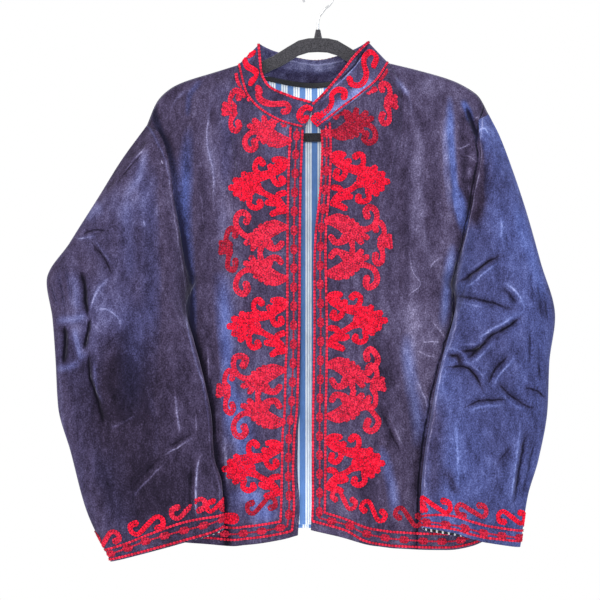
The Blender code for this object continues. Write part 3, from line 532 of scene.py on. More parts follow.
# The same columns for the collar, whose places are along it and up from its seam.
COLLAR_MARKS = [
    ([(385, 6), (430, 7), (455, 8), (484, 9)], 8.0, 0, 0.8, 0.7),
    ([(0, 20), (60, 20), (135, 20)], 26.0, 0, -0.5, -0.1),
    ([(345, 35), (380, 37), (420, 34), (478, 29)], 1.6, 0, 0.9, 0.5),
    ([(345, 40), (390, 38), (440, 36)], 2.2, 0, -0.9, 0.0),
    ([(170, 31), (200, 32), (260, 30), (310, 31)], 3.0, 0, 0.7, 0.1),
    ([(150, 12), (220, 14), (300, 10)], 6.0, 0, -0.4, 0.0),
    ([(190, 20), (230, 24), (280, 20)], 7.0, 0, 0.5, 0.1),
    ([(128, 20), (143, 22)], 8.0, 0, 0.35, 0.3),
    ([(330, 22), (348, 24)], 8.0, 0, 0.2, 0.2),
]
# How light and how blue each panel's nap lies before its marks. The left sleeve's strong blue is painted
# cool light, and the collar's extra lightness is painted light.
PANEL_TONE_AND_PAINTED_LIGHT = {
    "front_right": (0.02, 0.0),
    "front_left": (0.08, -0.1),
    "back": (0.0, 0.1),
    "sleeve_right": (-0.03, 0.08),
    "sleeve_left": (-0.02, 0.82),
    "collar": (0.12, 0.1),
}
# Beside the crest and the trough of a crease the cloth swells the other way.
LIP_SHARE = 0.3
LIP_PLACE = 1.7
# A crease deepens over the first share of its length and fades from the second.
CREASE_ENDS = (0.3, 0.7)
# The spacing of the points on its line, how far they stray, and the least width that is pressed in.
CREASE_SPACING = 7.0
CREASE_WANDER = 0.45
CREASE_MESH_WIDTH = 3.6
# Creases up to the widest are drawn as crisp lines in the nap, the rest as soft bands, both partly crushed
# nap and partly painted shade and painted highlights. A crisp line takes a share of its crease's width, and
# a soft halo lies about it, lighter about a painted highlight and darker about a painted shade.
LINE_WIDEST = 4.5
LINE_SHARE = 0.52
LINE_CONTRAST = 0.56
LINE_GLOW = 0.35
LINE_GLOW_WIDTH = 7.0
# The lines lie in layers. Those in one layer keep clear of each other, and a line fades between two
# distances from it.
LINE_LAYERS = 6
LINE_REACH = 11.0
LINE_CLEAR = 18.0
LINE_FADE = (3.5, 6.0)

# Gentle unevenness of the cloth. Columns: length of a wave, height.
WAVES = [(170, 0.9), (110, 0.7), (70, 0.5), (42, 0.28), (26, 0.14)]
WAVES_EACH = 5
# Between which shares a wave's turns stray, and the share of them that counts down the cloth, where the
# waves are longer than across.
WAVE_STRAY = (0.75, 1.3)
WAVE_DOWN = 0.6
WAVE_SEEDS = {"front_right": 3, "front_left": 4, "back": 5, "sleeve_front": 6, "sleeve_back": 7}

# How finely the pieces are divided, across or round and then down. A sleeve has its front and back apart.
FRONT_GRID = (100, 236)
BACK_GRID = (132, 190)
SLEEVE_GRID = (106, 50, 216)
COLLAR_GRID = (260, 18)
LINING_GRID = (70, 110)
TAPE_GRID = (60, 4)
# How strongly their divisions are drawn towards the seams: of a part of a panel, of the back's neckline,
# down a panel and down a sleeve.
PART_PULL = 0.3
NECK_PULL = 0.2
DOWN_PULL = 0.15
SLEEVE_PULL = 0.1


def smooth(knots, rows, at):
    """Reads a table's columns at any place, on a curve that doesn't overshoot its rows."""
    knots = np.asarray(knots, float)
    rows = np.asarray(rows, float)
    gaps = np.diff(knots)
    slopes = np.diff(rows, axis=0) / gaps[:, None]
    tangents = np.zeros_like(rows)
    before = slopes[:-1]
    after = slopes[1:]
    total = before + after
    total[total == 0] = 1
    tangents[1:-1] = np.where(before * after > 0, 2 * before * after / total, 0)
    tangents[0] = slopes[0]
    tangents[-1] = slopes[-1]
    at = np.clip(np.asarray(at, float), knots[0], knots[-1])
    cell = np.clip(np.searchsorted(knots, at, side="right") - 1, 0, len(knots) - 2)
    gap = gaps[cell][..., None]
    t = (at - knots[cell])[..., None] / gap
    start = (2 * t**3 - 3 * t**2 + 1) * rows[cell] + (t**3 - 2 * t**2 + t) * gap * tangents[cell]
    finish = (3 * t**2 - 2 * t**3) * rows[cell + 1] + (t**3 - t**2) * gap * tangents[cell + 1]
    return start + finish


def run(points):
    """The distance along a line of points, from 0 to 1."""
    total = lengths_along(np.asarray(points, float))
    return total / total[-1]


def lengths_along(points):
    """The distance along a line of points at each of them."""
    steps = np.linalg.norm(np.diff(points, axis=0), axis=1)
    return np.concatenate([[0.0], np.cumsum(steps)])


def nearest_gap(places, others):
    """How far each place is from the nearest of others, and which that is."""
    gaps = np.linalg.norm(places[:, None] - others[None], axis=-1)
    which = gaps.argmin(axis=1)
    return gaps[np.arange(len(places)), which], which


def columns_of(table, first, last=None):
    """Some columns of a table that lie side by side."""
    return [row[first:last] for row in table]


def read_columns(table, at):
    """Reads a table at any place along its first column, and gives its other columns."""
    knots = [row[0] for row in table]
    return np.moveaxis(smooth(knots, columns_of(table, 1), at), -1, 0)


def bend(line, ends, at):
    """How far a line of values strays from the straight run between its ends."""
    first = ends[0][0]
    last = ends[-1][0]
    return line - (first + (last - first) * at)


def step(low, high, at):
    """1 above high and 0 below low, rising softly between them."""
    t = np.clip((np.asarray(at, float) - low) / (high - low), 0, 1)
    return t * t * (3 - 2 * t)


NECK_RUN = run(columns_of(NECK, 0, 3))


def neck_ring(place):
    """The neckline and the collar's upper edge, at a share of the way round from front to front."""
    both = smooth(NECK_RUN, NECK, place)
    return both[..., :3], both[..., 3:]


def outward(side):
    """The sign of x on a side of the wearer."""
    return -1 if side == "right" else 1


def neck_span(side):
    """The part of the neckline that a front has, as places from its free edge to its shoulder."""
    if side == "right":
        return 0.0, NECK_RUN[RIGHT_NECK_PLACE]
    return 1.0, NECK_RUN[LEFT_NECK_PLACE]


def shoulder(side, share):
    """A shoulder seam, from the neck at 0 to its end at 1."""
    table = SHOULDER[side]
    flat = smooth(run(table), table, share)
    return np.stack([flat[..., 0], np.zeros_like(flat[..., 0]), flat[..., 1]], axis=-1)


def front_top(side, across):
    """The top of a front: the neckline from its free edge, then the shoulder."""
    start, end = neck_span(side)
    neckline = neck_ring(start + (end - start) * np.clip(across / NECK_SHARE, 0, 1))[0]
    seam = shoulder(side, np.clip((across - NECK_SHARE) / (1 - NECK_SHARE), 0, 1))
    return np.where((across < NECK_SHARE)[..., None], neckline, seam)


def side_line(side, down):
    """The side of the body at a share of the way down: x and the armhole's half depth."""
    table = SIDE[side]
    top = table[0][0]
    bottom = table[-1][0]
    shares = [(row[0] - top) / (bottom - top) for row in table]
    read = smooth(shares, columns_of(table, 1), down)
    return read[..., 0], read[..., 1]


def fold_depth(folds, x, z):
    """How far the large folds push a sheet in, at a place seen from the front."""
    depth = np.zeros_like(x)
    for x_top, z_top, x_low, z_low, width, sink in folds:
        along_x = x_low - x_top
        along_z = z_low - z_top
        length = math.hypot(along_x, along_z)
        along = ((x - x_top) * along_x + (z - z_top) * along_z) / length
        aside = ((x - x_top) * along_z - (z - z_top) * along_x) / length
        starting = step(0, FOLD_ENDS[0] * length, along)
        ending = step(FOLD_ENDS[1] * length, length, along)
        ends = starting * (1 - ending)
        depth = depth + sink * ends * np.exp(-((aside / width) ** 2))
    return depth


def distance_to_line(places, x, z):
    """How far each point is from a line of places, below 0 on one side, and its share along the line."""
    lengths = lengths_along(places)
    nearest = np.full(x.shape, np.inf)
    share = np.zeros(x.shape)
    side = np.ones(x.shape)
    for i in range(len(places) - 1):
        start = places[i]
        along = places[i + 1] - start
        t = ((x - start[0]) * along[0] + (z - start[1]) * along[1]) / (along @ along)
        t = np.clip(t, 0, 1)
        gap = np.hypot(x - start[0] - t * along[0], z - start[1] - t * along[1])
        closer = gap < nearest
        nearest = np.where(closer, gap, nearest)
        at = (lengths[i] + t * (lengths[i + 1] - lengths[i])) / lengths[-1]
        share = np.where(closer, at, share)
        turned = (x - start[0]) * along[1] - (z - start[1]) * along[0]
        side = np.where(closer, np.where(turned < 0, -1, 1), side)
    return nearest * side, share


def through(points, spacing):
    """A smooth line through points, on a Catmull-Rom curve."""
    points = np.asarray(points, float)
    padded = np.concatenate([[2 * points[0] - points[1]], points, [2 * points[-1] - points[-2]]])
    line = []
    for before, start, end, after in zip(padded, padded[1:], padded[2:], padded[3:]):
        count = max(2, int(np.linalg.norm(end - start) / spacing))
        t = np.linspace(0, 1, count, endpoint=False)[:, None]
        line.append(0.5 * (2 * start + (end - before) * t
                           + (2 * before - 5 * start + 4 * end - after) * t**2
                           + (3 * start - before - 3 * end + after) * t**3))
    return np.concatenate([*line, points[-1:]])


def crease_line(places, number):
    """A crease's line, unsteady as creases are."""
    line = through(places, CREASE_SPACING)
    draw = np.random.default_rng(number)
    line[1:-1] += draw.normal(0, CREASE_WANDER, (len(line) - 2, 2))
    return line


def crease_ends(share):
    """How far a crease has formed at a share of its length."""
    return step(0, CREASE_ENDS[0], share) * (1 - step(CREASE_ENDS[1], 1, share))


def crease_sink(creases, x, z):
    """How far a table of creases sinks the cloth at each place."""
    sink = np.zeros_like(x)
    for number, (places, width, depth, _, _) in enumerate(creases):
        width = max(width, CREASE_MESH_WIDTH)
        gap, share = distance_to_line(crease_line(places, number), x, z)
        middle = np.exp(-((gap / width) ** 2))
        lip = np.exp(-(((np.abs(gap) - LIP_PLACE * width) / width) ** 2))
        sink += depth * crease_ends(share) * (middle - LIP_SHARE * lip)
    return sink


def freest_layer(taken, line):
    """The first layer whose lines all keep clear of a line, or else the one that leaves it most room."""
    room = [min((nearest_gap(line, other)[0].min() for other in lines), default=math.inf) for lines in taken]
    return next((k for k, clear in enumerate(room) if clear > LINE_CLEAR), int(np.argmax(room)))


def crease_nap_and_painted_light(creases, x, z):
    """What creases do to the nap, partly crushed nap and partly painted shade, painted highlights and painted
    cool light: broad ones its lightness and blueness, thin ones in layers of lines.

    A layer holds, at each point, how far the nearest of its lines is and on which side, how much lighter
    the line is, and its half width. Lines in one layer keep clear of each other.
    """
    light = np.zeros_like(x)
    blue = np.zeros_like(x)
    empty = np.stack([np.full_like(x, LINE_REACH), np.zeros_like(x), np.ones_like(x)], axis=-1)
    layers = [empty.copy() for _ in range(LINE_LAYERS)]
    taken = [[] for _ in layers]
    for number, (places, width, _, lighter, bluer) in enumerate(creases):
        line = crease_line(places, number)
        gap, share = distance_to_line(line, x, z)
        ends = crease_ends(share)
        mark = np.sqrt(ends) * np.exp(-((gap / width) ** 2))
        blue += bluer * mark
        if width > LINE_WIDEST:
            light += lighter * mark
            continue
        light += lighter * LINE_GLOW * ends * np.exp(-((gap / LINE_GLOW_WIDTH) ** 2))
        free = freest_layer(taken, line)
        taken[free].append(line)
        near = np.abs(gap) < np.abs(layers[free][..., 0])
        strength = lighter * ends * (1 - step(*LINE_FADE, np.abs(gap)))
        thin = np.full_like(x, width * LINE_SHARE)
        layers[free][near] = np.stack([gap, strength, thin], axis=-1)[near]
    return light, blue, layers


def unevenness(seed, x, z):
    """Seeded soft waves in all directions."""
    draw = np.random.default_rng(seed)
    height = np.zeros_like(x)
    for length, amount in WAVES:
        for _ in range(WAVES_EACH):
            angle, phase = draw.uniform(0, 2 * math.pi, 2)
            turn = 2 * math.pi / length * draw.uniform(*WAVE_STRAY)
            wave = np.sin(turn * (x * math.cos(angle) + z * math.sin(angle) * WAVE_DOWN) + phase)
            height += amount / math.sqrt(WAVES_EACH) * wave
    return height


def side_turn(across):
    """1 over the flat of a panel, falling to 0 where it has turned to the side seam."""
    t = np.clip((across - SIDE_TURN) / (1 - SIDE_TURN), 0, 1)
    return np.sqrt(1 - t**2)


def ridge(fallen):
    """The quarter round over the hanger, at a distance fallen from the shoulder."""
    drop = np.clip(1 - fallen / RIDGE_RADIUS, 0, 1)
    return RIDGE_RADIUS * np.sqrt(1 - drop**2)


def rolled(distance):
    """How far cloth rolls in beside a seam or an edge."""
    return ROLL_DEPTH * np.exp(-((distance / ROLL_REACH) ** 2))


def panel_slack(down, from_side):
    """How free a panel is to crease, which it isn't beside its seams."""
    return step(0, PANEL_SLACK[0], down) * step(0, PANEL_SLACK[1], from_side)


def front_sheet(side, across, down):
    """A point of a front: across from the free edge to the side, down from the top to the hem."""
    top = front_top(side, across)
    hem_x, hem_z = read_columns(FRONT_HEM[side], across)
    edge_x = read_columns(FRONT_EDGE[side], down)[0]
    edge_bend = bend(edge_x, columns_of(FRONT_EDGE[side], 1, 2), down)
    side_x, armhole = side_line(side, down)
    side_bend = bend(side_x, columns_of(SIDE[side], 1, 2), down)
    lean = NECK_LEAN * np.exp(-(((across - NECK_SHARE) / NECK_LEAN_WIDTH) ** 2))
    lean = lean * (1 - np.exp(-down / NECK_LEAN_START)) * (1 - step(*NECK_LEAN_FADE, down))
    x = top[..., 0] + (hem_x - top[..., 0]) * down + (1 - across) * edge_bend + across * side_bend
    x = x + outward(side) * lean
    z = top[..., 2] + (hem_z - top[..., 2]) * down
    share, at_edge, elsewhere = read_columns(FRONT_DEPTH, down)
    plane = elsewhere + (at_edge - elsewhere) * (1 - step(0, EDGE_DEPTH_REACH, across))
    over_hanger = ridge(top[..., 2] - z) * step(NECK_SHARE - RIDGE_FADE, NECK_SHARE, across)
    free = (1 - share) * -top[..., 1] + over_hanger + share * plane
    free = free - fold_depth(FRONT_FOLDS[side], x, z)
    slack = panel_slack(down, 1 - across)
    calm = EDGE_CALM + (1 - EDGE_CALM) * step(0, EDGE_CALM_REACH, across)
    free = free - crease_sink(FRONT_CREASES[side], x, z) * slack
    free = free + unevenness(WAVE_SEEDS[f"front_{side}"], x, z) * slack * calm
    free = free - rolled((1 - across) * FRONT_WIDTH) - rolled(across * FRONT_WIDTH)
    free = free - rolled((1 - down) * FRONT_LENGTH)
    turn = side_turn(across)
    depth = free * turn + armhole * (1 - turn)
    return np.stack([x, -np.maximum(depth, 0), z], axis=-1)


def back_top(across):
    """The top of the back: right shoulder, neckline, left shoulder, at 0 to 1 across."""
    right_part, left_part = BACK_PARTS
    right = shoulder("right", 1 - np.clip(across / right_part, 0, 1))
    left = shoulder("left", np.clip((across - left_part) / (1 - left_part), 0, 1))
    share = np.clip((across - right_part) / (left_part - right_part), 0, 1)
    place = NECK_RUN[RIGHT_NECK_PLACE] + (NECK_RUN[LEFT_NECK_PLACE] - NECK_RUN[RIGHT_NECK_PLACE]) * share
    neckline = neck_ring(place)[0]
    middle = np.where((across < left_part)[..., None], neckline, left)
    return np.where((across < right_part)[..., None], right, middle)


def back_sheet(across, down):
    """A point of the back: across from the right side to the left, down from the top to the hem."""
    top = back_top(across)
    hem_x, hem_z = read_columns(BACK_HEM, across)
    bends = []
    armholes = []
    for side in ("right", "left"):
        side_x, armhole = side_line(side, down)
        bends.append(bend(side_x, columns_of(SIDE[side], 1, 2), down))
        armholes.append(armhole * BACK_ARMHOLE)
    x = top[..., 0] + (hem_x - top[..., 0]) * down + (1 - across) * bends[0] + across * bends[1]
    z = top[..., 2] + (hem_z - top[..., 2]) * down
    share, plane = read_columns(BACK_DEPTH, down)
    outside = np.maximum(BACK_PARTS[0] - across, across - BACK_PARTS[1])
    over_hanger = ridge(top[..., 2] - z) * step(-RIDGE_FADE, 0, outside)
    free = (1 - share) * top[..., 1] + over_hanger + share * plane - fold_depth(BACK_FOLDS, x, z)
    from_middle = np.abs(across - 0.5) * 2
    slack = panel_slack(down, 1 - from_middle)
    free = free - crease_sink(BACK_CREASES, x, z) * slack
    free = free + unevenness(WAVE_SEEDS["back"], x, z) * slack
    free = free - rolled((1 - down) * FRONT_LENGTH) - rolled((1 - from_middle) * FRONT_WIDTH)
    turn = side_turn(from_middle)
    armhole = np.where(across < 0.5, armholes[0], armholes[1])
    depth = free * turn + armhole * (1 - turn)
    return np.stack([x, np.maximum(depth, 0), z], axis=-1)


def squared(wave):
    """A sine or cosine whose ring is squarer than a circle."""
    return np.sign(wave) * np.abs(wave) ** (2 / SLEEVE_SQUARENESS)


def armhole_share(turn):
    """How far down the armhole a sleeve's ring has got, at an angle from its top."""
    return (1 - squared(np.cos(turn))) / 2


def ring_point(row, share, bulge):
    """A place on a sleeve's ring, from its table's row: share from its outer to its inner fold."""
    point = row[..., :3] + (row[..., 3:6] - row[..., :3]) * share[..., None]
    point[..., 1] += np.where(bulge > 0, -row[..., 6] * bulge, -row[..., 7] * bulge)
    return point


def armhole_seam(side, share, bulge):
    """Where a sleeve's first ring meets the body."""
    table = SIDE[side]
    top = table[0][0]
    bottom = table[-1][0]
    body_down = share * UNDERARM
    x, armhole = side_line(side, body_down)
    gap = CAP_GAP + UNDERARM_GAP * share**3
    y = np.where(bulge > 0, -armhole, BACK_ARMHOLE * armhole)
    return np.stack([x + outward(side) * gap, y, top + (bottom - top) * body_down], axis=-1)


def sleeve_sink(side, bulge, x, z):
    """How far a sleeve's creases sink it. Its front and back have their own."""
    front = crease_sink(SLEEVE_CREASES[side], x, z) - unevenness(WAVE_SEEDS["sleeve_front"], x, z)
    back = crease_sink(SLEEVE_BACK_CREASES[side], x, z) - unevenness(WAVE_SEEDS["sleeve_back"], x, z)
    return np.where(bulge > 0, front, back)


def sleeve_sheet(side, turn, down):
    """A point of a sleeve: turn is the angle from its outer fold over the front, down to the cuff."""
    table = SLEEVE[side]
    knots = run(columns_of(table, 0, 3))
    share = armhole_share(turn)
    bulge = squared(np.sin(turn))
    point = ring_point(smooth(knots, table, down), share, bulge)
    hidden = np.clip(-bulge, 0, 1) * share
    point[..., 2] -= CUFF_DROP[side] * hidden * step(CUFF_DROP_START, 1, down)
    hitch = read_columns(CUFF_HITCH[side], np.mod(turn, 2 * math.pi))[0]
    point[..., 2] += hitch * step(CUFF_HITCH_START, 1, down)
    start = ring_point(smooth(knots, table, np.zeros_like(down)), share, bulge)
    seam = armhole_seam(side, share, bulge)
    point = point + (seam - start) * (1 - step(0, CAP_FADE, down))[..., None]
    x = point[..., 0]
    z = point[..., 2]
    slack = step(0, SLEEVE_SLACK, down)
    sink = fold_depth(SLEEVE_FOLDS[side], x, z)
    sink = sink + sleeve_sink(side, bulge, x, z) * slack
    sink = (sink + rolled((1 - down) * FRONT_LENGTH) + rolled(down * FRONT_LENGTH)) * np.abs(bulge)
    point[..., 1] += np.where(bulge > 0, sink, -sink)
    return point


def collar_sheet(place, up, swollen=True):
    """A point of the collar: place round the neck, up from the seam to the upper edge."""
    seam, upper = neck_ring(place)
    slant = upper - seam
    length = np.linalg.norm(slant, axis=-1, keepdims=True)
    foot = seam + slant / length * COLLAR_LIFT
    point = foot + (upper - foot) * up[..., None]
    if swollen:
        right, left = read_columns(COLLAR_ENDS, up)
        point[..., 0] += right * (1 - step(0, COLLAR_END_REACH, place))
        point[..., 0] -= left * step(1 - COLLAR_END_REACH, 1, place)
    return point


def collar_lengths(places):
    """Millimetres along the middle of the collar, which the swollen ends don't shift."""
    return lengths_along(collar_sheet(places, np.full_like(places, 0.5), swollen=False))


def moved(sheet, across, down, distance):
    """A sheet moved along its own normal."""
    point = sheet(across, down)
    before = np.clip(across - NORMAL_STEP, 0, 1)
    after = np.clip(across + NORMAL_STEP, 0, 1)
    above = np.clip(down - NORMAL_STEP, 0, 1)
    below = np.clip(down + NORMAL_STEP, 0, 1)
    normal = np.cross(sheet(after, down) - sheet(before, down), sheet(across, below) - sheet(across, above))
    normal /= np.linalg.norm(normal, axis=-1, keepdims=True)
    return point + normal * distance


# Shader nodes.
def feed(tree, socket, value):
    """Links a socket to another one, or sets it to a plain value."""
    if isinstance(value, bpy.types.NodeSocket):
        tree.links.new(value, socket)
    else:
        socket.default_value = value


def add_node(tree, kind, inputs=None, **settings):
    node = tree.nodes.new(kind)
    for name, value in settings.items():
        setattr(node, name, value)
    for name, value in (inputs or {}).items():
        feed(tree, node.inputs[name], value)
    return node


def read_attribute(tree, name, output="Fac"):
    return add_node(tree, "ShaderNodeAttribute", attribute_name=name).outputs[output]


def calculate(tree, operation, *values, clamp=False):
    node = add_node(tree, "ShaderNodeMath", operation=operation, use_clamp=clamp)
    for socket, value in zip(node.inputs, values):
        feed(tree, socket, value)
    return node.outputs[0]


def color_ramp(tree, factor, stops, interpolation="LINEAR"):
    node = add_node(tree, "ShaderNodeValToRGB", {"Fac": factor})
    ramp = node.color_ramp
    ramp.interpolation = interpolation
    while len(ramp.elements) < len(stops):
        ramp.elements.new(1.0)
    for element, (place, color) in zip(ramp.elements, stops):
        element.position = place
        element.color = (*color, 1)
    return node.outputs["Color"]


def mix_colors(tree, factor, first, second, blend="MIX"):
    node = add_node(tree, "ShaderNodeMix", data_type="RGBA", blend_type=blend)
    colors = [socket for socket in node.inputs if socket.type == "RGBA"]
    for socket, value in zip((node.inputs[0], *colors), (factor, first, second)):
        feed(tree, socket, value)
    return next(socket for socket in node.outputs if socket.type == "RGBA")


def noise(tree, scale, detail=3.0, roughness=0.55, stretch=(1, 1, 1)):
    """Noise on the object's own coordinates, in metres, and stretched along an axis."""
    coords = add_node(tree, "ShaderNodeTexCoord").outputs["Object"]
    mapping = add_node(tree, "ShaderNodeMapping", {"Vector": coords, "Scale": stretch})
    inputs = {"Vector": mapping.outputs["Vector"], "Scale": scale, "Detail": detail,
              "Roughness": roughness}
    return add_node(tree, "ShaderNodeTexNoise", inputs).outputs["Fac"]


def new_material(name, **values):
    """A material, its nodes and its shader, whose sockets are named with underlines for spaces."""
    material = bpy.data.materials.new(name)
    material.use_nodes = True
    shader = material.node_tree.nodes["Principled BSDF"]
    for socket, value in values.items():
        shader.inputs[socket.replace("_", " ")].default_value = value
    return material, material.node_tree, shader


def add_bump(tree, shader, height, distance):
    bump = add_node(tree, "ShaderNodeBump", {"Height": height, "Distance": distance, "Strength": 1.0})
    tree.links.new(bump.outputs["Normal"], shader.inputs["Normal"])


# The velvet's colours, from dark to light, as plum navy and as slate blue. Where they are read is set by
# the nap's noise and crushed lines, and by the painted shade and painted highlights of the marks.
NAVY_RAMP = [(0.0, (0.003, 0.002, 0.006)), (0.3, (0.013, 0.009, 0.021)), (0.55, (0.037, 0.028, 0.060)),
             (0.8, (0.086, 0.074, 0.136)), (1.0, (0.20, 0.185, 0.30))]
SLATE_RAMP = [(0.0, (0.004, 0.004, 0.016)), (0.3, (0.016, 0.019, 0.062)), (0.55, (0.043, 0.056, 0.17)),
              (0.8, (0.095, 0.125, 0.31)), (1.0, (0.21, 0.25, 0.48))]
# Patches, streaks, mottles and grain of the nap. Columns: how many to a metre, detail, stretch down the
# cloth, how much lighter or darker they make it.
NAP_NOISE = [(8, 3, 0.35, 0.36), (34, 3, 0.35, 0.48), (120, 2, 0.45, 0.48), (620, 1, 0.8, 0.72)]
NAP_ROUGHNESS = 0.6
NAP_MIDDLE = 0.52
MARK_CONTRAST = 0.36
# How much bluer the patches are.
PATCH_BLUE = 1.1
# Fine crushed lines in the nap: how many to a metre, how thin, how light. They show in the light patches,
# by a gain and a shift of those.
VEINS = [(26, 0.012, 0.16), (48, 0.016, 0.12)]
VEIN_MASK = (4.0, -1.9)
# What breaks the crisp lines up: noise of so many to a metre, its gain and its shift.
LINE_BREAKS = (70, 2.6, -0.5)
# The relief of the pile: how much of it the streaks and the crisp lines make, and its height in metres.
STREAK_RELIEF = 1.2
LINE_RELIEF = 0.7
PILE_HEIGHT = 0.0016


def crisp_lines(tree):
    """The thin creases, from the layers of distances: how much lighter they make the nap, as painted
    highlights and painted shade, partly crushed nap.
    """
    total = 0.0
    for number in range(LINE_LAYERS):
        layer = read_attribute(tree, f"line_{number}", "Vector")
        parts = add_node(tree, "ShaderNodeSeparateXYZ", {"Vector": layer})
        share = calculate(tree, "DIVIDE", parts.outputs["X"], parts.outputs["Z"])
        turned = calculate(tree, "MULTIPLY", share, -1.0)
        hill = calculate(tree, "EXPONENT", calculate(tree, "MULTIPLY", share, turned))
        total = calculate(tree, "MULTIPLY_ADD", hill, parts.outputs["Y"], total)
    return total


def add_veins(tree, value, patches):
    """Lightens the nap's value along its fine crushed lines."""
    mask = calculate(tree, "MULTIPLY_ADD", patches, *VEIN_MASK, clamp=True)
    for scale, thin, amount in VEINS:
        field = noise(tree, scale, detail=1.5, roughness=0.5, stretch=(1, 1, 0.6))
        off = calculate(tree, "ABSOLUTE", calculate(tree, "SUBTRACT", field, 0.5))
        vein = calculate(tree, "SUBTRACT", 1.0, calculate(tree, "DIVIDE", off, thin), clamp=True)
        value = calculate(tree, "MULTIPLY_ADD", calculate(tree, "MULTIPLY", vein, mask), amount, value)
    return value


def velvet_material():
    material, tree, shader = new_material("velvet", Roughness=0.95, Sheen_Weight=0.16, Sheen_Roughness=0.4,
                                          Sheen_Tint=(0.62, 0.60, 0.85, 1), Specular_IOR_Level=0.08)
    # The tone is the marks' lightness and blueness: crushed nap, and painted shade, highlights and cool
    # light.
    tone = add_node(tree, "ShaderNodeSeparateXYZ", {"Vector": read_attribute(tree, "tone", "Vector")})
    value = calculate(tree, "MULTIPLY_ADD", tone.outputs["X"], MARK_CONTRAST, NAP_MIDDLE)
    fields = []
    for scale, detail, stretch, amount in NAP_NOISE:
        fields.append(noise(tree, scale, detail, NAP_ROUGHNESS, (1, 1, stretch)))
        centred = calculate(tree, "SUBTRACT", fields[-1], 0.5)
        value = calculate(tree, "MULTIPLY_ADD", centred, amount, value)
    patches, streaks, mottles, _ = fields
    breaks, gain, shift = LINE_BREAKS
    broken = calculate(tree, "MULTIPLY_ADD", noise(tree, breaks), gain, shift, clamp=True)
    # The crisp lines paint the thin creases' shade and highlights into the nap.
    lines = calculate(tree, "MULTIPLY", crisp_lines(tree), broken)
    value = add_veins(tree, value, patches)
    value = calculate(tree, "MULTIPLY_ADD", lines, LINE_CONTRAST, value, clamp=True)
    centred = calculate(tree, "SUBTRACT", patches, 0.5)
    bluer = calculate(tree, "MULTIPLY_ADD", centred, PATCH_BLUE, tone.outputs["Y"], clamp=True)
    color = mix_colors(tree, bluer, color_ramp(tree, value, NAVY_RAMP), color_ramp(tree, value, SLATE_RAMP))
    tree.links.new(color, shader.inputs["Base Color"])
    pile = calculate(tree, "MULTIPLY_ADD", lines, LINE_RELIEF, mottles)
    pile = calculate(tree, "MULTIPLY_ADD", streaks, STREAK_RELIEF, pile)
    add_bump(tree, shader, pile, PILE_HEIGHT)
    return material


# The linings' stripes, in millimetres to a repeat and in shares of it from the middle of a white band, and
# how far they are shifted across the back.
STRIPE_PERIOD = 17.0
STRIPE_SHIFT = 13.0
WHITE_COTTON = (0.83, 0.91, 0.96)
BLUE_COTTON = (0.12, 0.25, 0.55)
THIN_BLUE = (0.13, 0.20, 0.42)
STRIPES = [
    (0.0, WHITE_COTTON), (0.085, THIN_BLUE), (0.125, WHITE_COTTON), (0.255, BLUE_COTTON),
    (0.745, WHITE_COTTON), (0.875, THIN_BLUE), (0.915, WHITE_COTTON),
]
# Inside the sleeves the lining is painted dark as painted shade, with thin pale stripes.
PAINTED_SHADE_LINING_PERIOD = 9.0
PAINTED_SHADE_LINING_STRIPES = [(0.0, (0.55, 0.55, 0.55)), (0.16, (0.012, 0.012, 0.016)), (0.86, (0.55, 0.55, 0.55))]
# A number added before a repeat is taken, so that places left of the middle count up as well.
MANY_REPEATS = 1000.0
WORN_COTTON = [(0.3, (0.78, 0.78, 0.80)), (0.7, (1.0, 1.0, 1.0))]
COTTON_YARN = [(0.3, (0.86, 0.86, 0.88)), (0.7, (1.08, 1.08, 1.08))]


def striped_material(name, stops, period):
    """Cotton with woven stripes, laid out along the attribute that gives millimetres across it."""
    material, tree, shader = new_material(name, Roughness=0.85, Specular_IOR_Level=0.25)
    turns = calculate(tree, "DIVIDE", read_attribute(tree, "across"), period)
    share = calculate(tree, "FRACT", calculate(tree, "ADD", turns, MANY_REPEATS))
    stripes = color_ramp(tree, share, stops, "CONSTANT")
    slub = noise(tree, 900, detail=2, stretch=(1, 1, 0.12))
    worn = color_ramp(tree, noise(tree, 26, detail=4), WORN_COTTON)
    color = mix_colors(tree, 1.0, stripes, worn, "MULTIPLY")
    color = mix_colors(tree, 1.0, color, color_ramp(tree, slub, COTTON_YARN), "MULTIPLY")
    tree.links.new(color, shader.inputs["Base Color"])
    add_bump(tree, shader, slub, 0.0002)
    return material


# Thread reds, by tone.
THREADS = {"bright": (0.80, 0.003, 0.032), "mid": (0.67, 0.015, 0.052), "deep": (0.50, 0.011, 0.042),
           "dark": (0.38, 0.007, 0.030)}
# Painted shade and highlights on a thread: how much of its red it keeps in its grooves, how far its red
# rises on its strands and how much paler it gets there, and how much its wear shows.
THREAD_GROOVE_SHADE = 0.1
THREAD_HIGHLIGHT_GAIN = 1.45
THREAD_HIGHLIGHT_PALE = 0.05
THREAD_WEAR = 0.3


def thread_material(tone):
    material, tree, shader = new_material(f"thread_{tone}", Roughness=0.7, Specular_IOR_Level=0.12)
    worn = calculate(tree, "SUBTRACT", noise(tree, 120), 0.5)
    total = calculate(tree, "MULTIPLY_ADD", worn, THREAD_WEAR, read_attribute(tree, "shade"))
    base = THREADS[tone]
    # The ramp paints shade into the grooves and pale highlights onto the strands' crests.
    stops = [(0.0, tuple(c * THREAD_GROOVE_SHADE for c in base)), (0.5, base),
             (1.0, tuple(c * THREAD_HIGHLIGHT_GAIN + THREAD_HIGHLIGHT_PALE for c in base))]
    tree.links.new(color_ramp(tree, total, stops), shader.inputs["Base Color"])
    add_bump(tree, shader, noise(tree, 2200, detail=2), 0.0002)
    return material


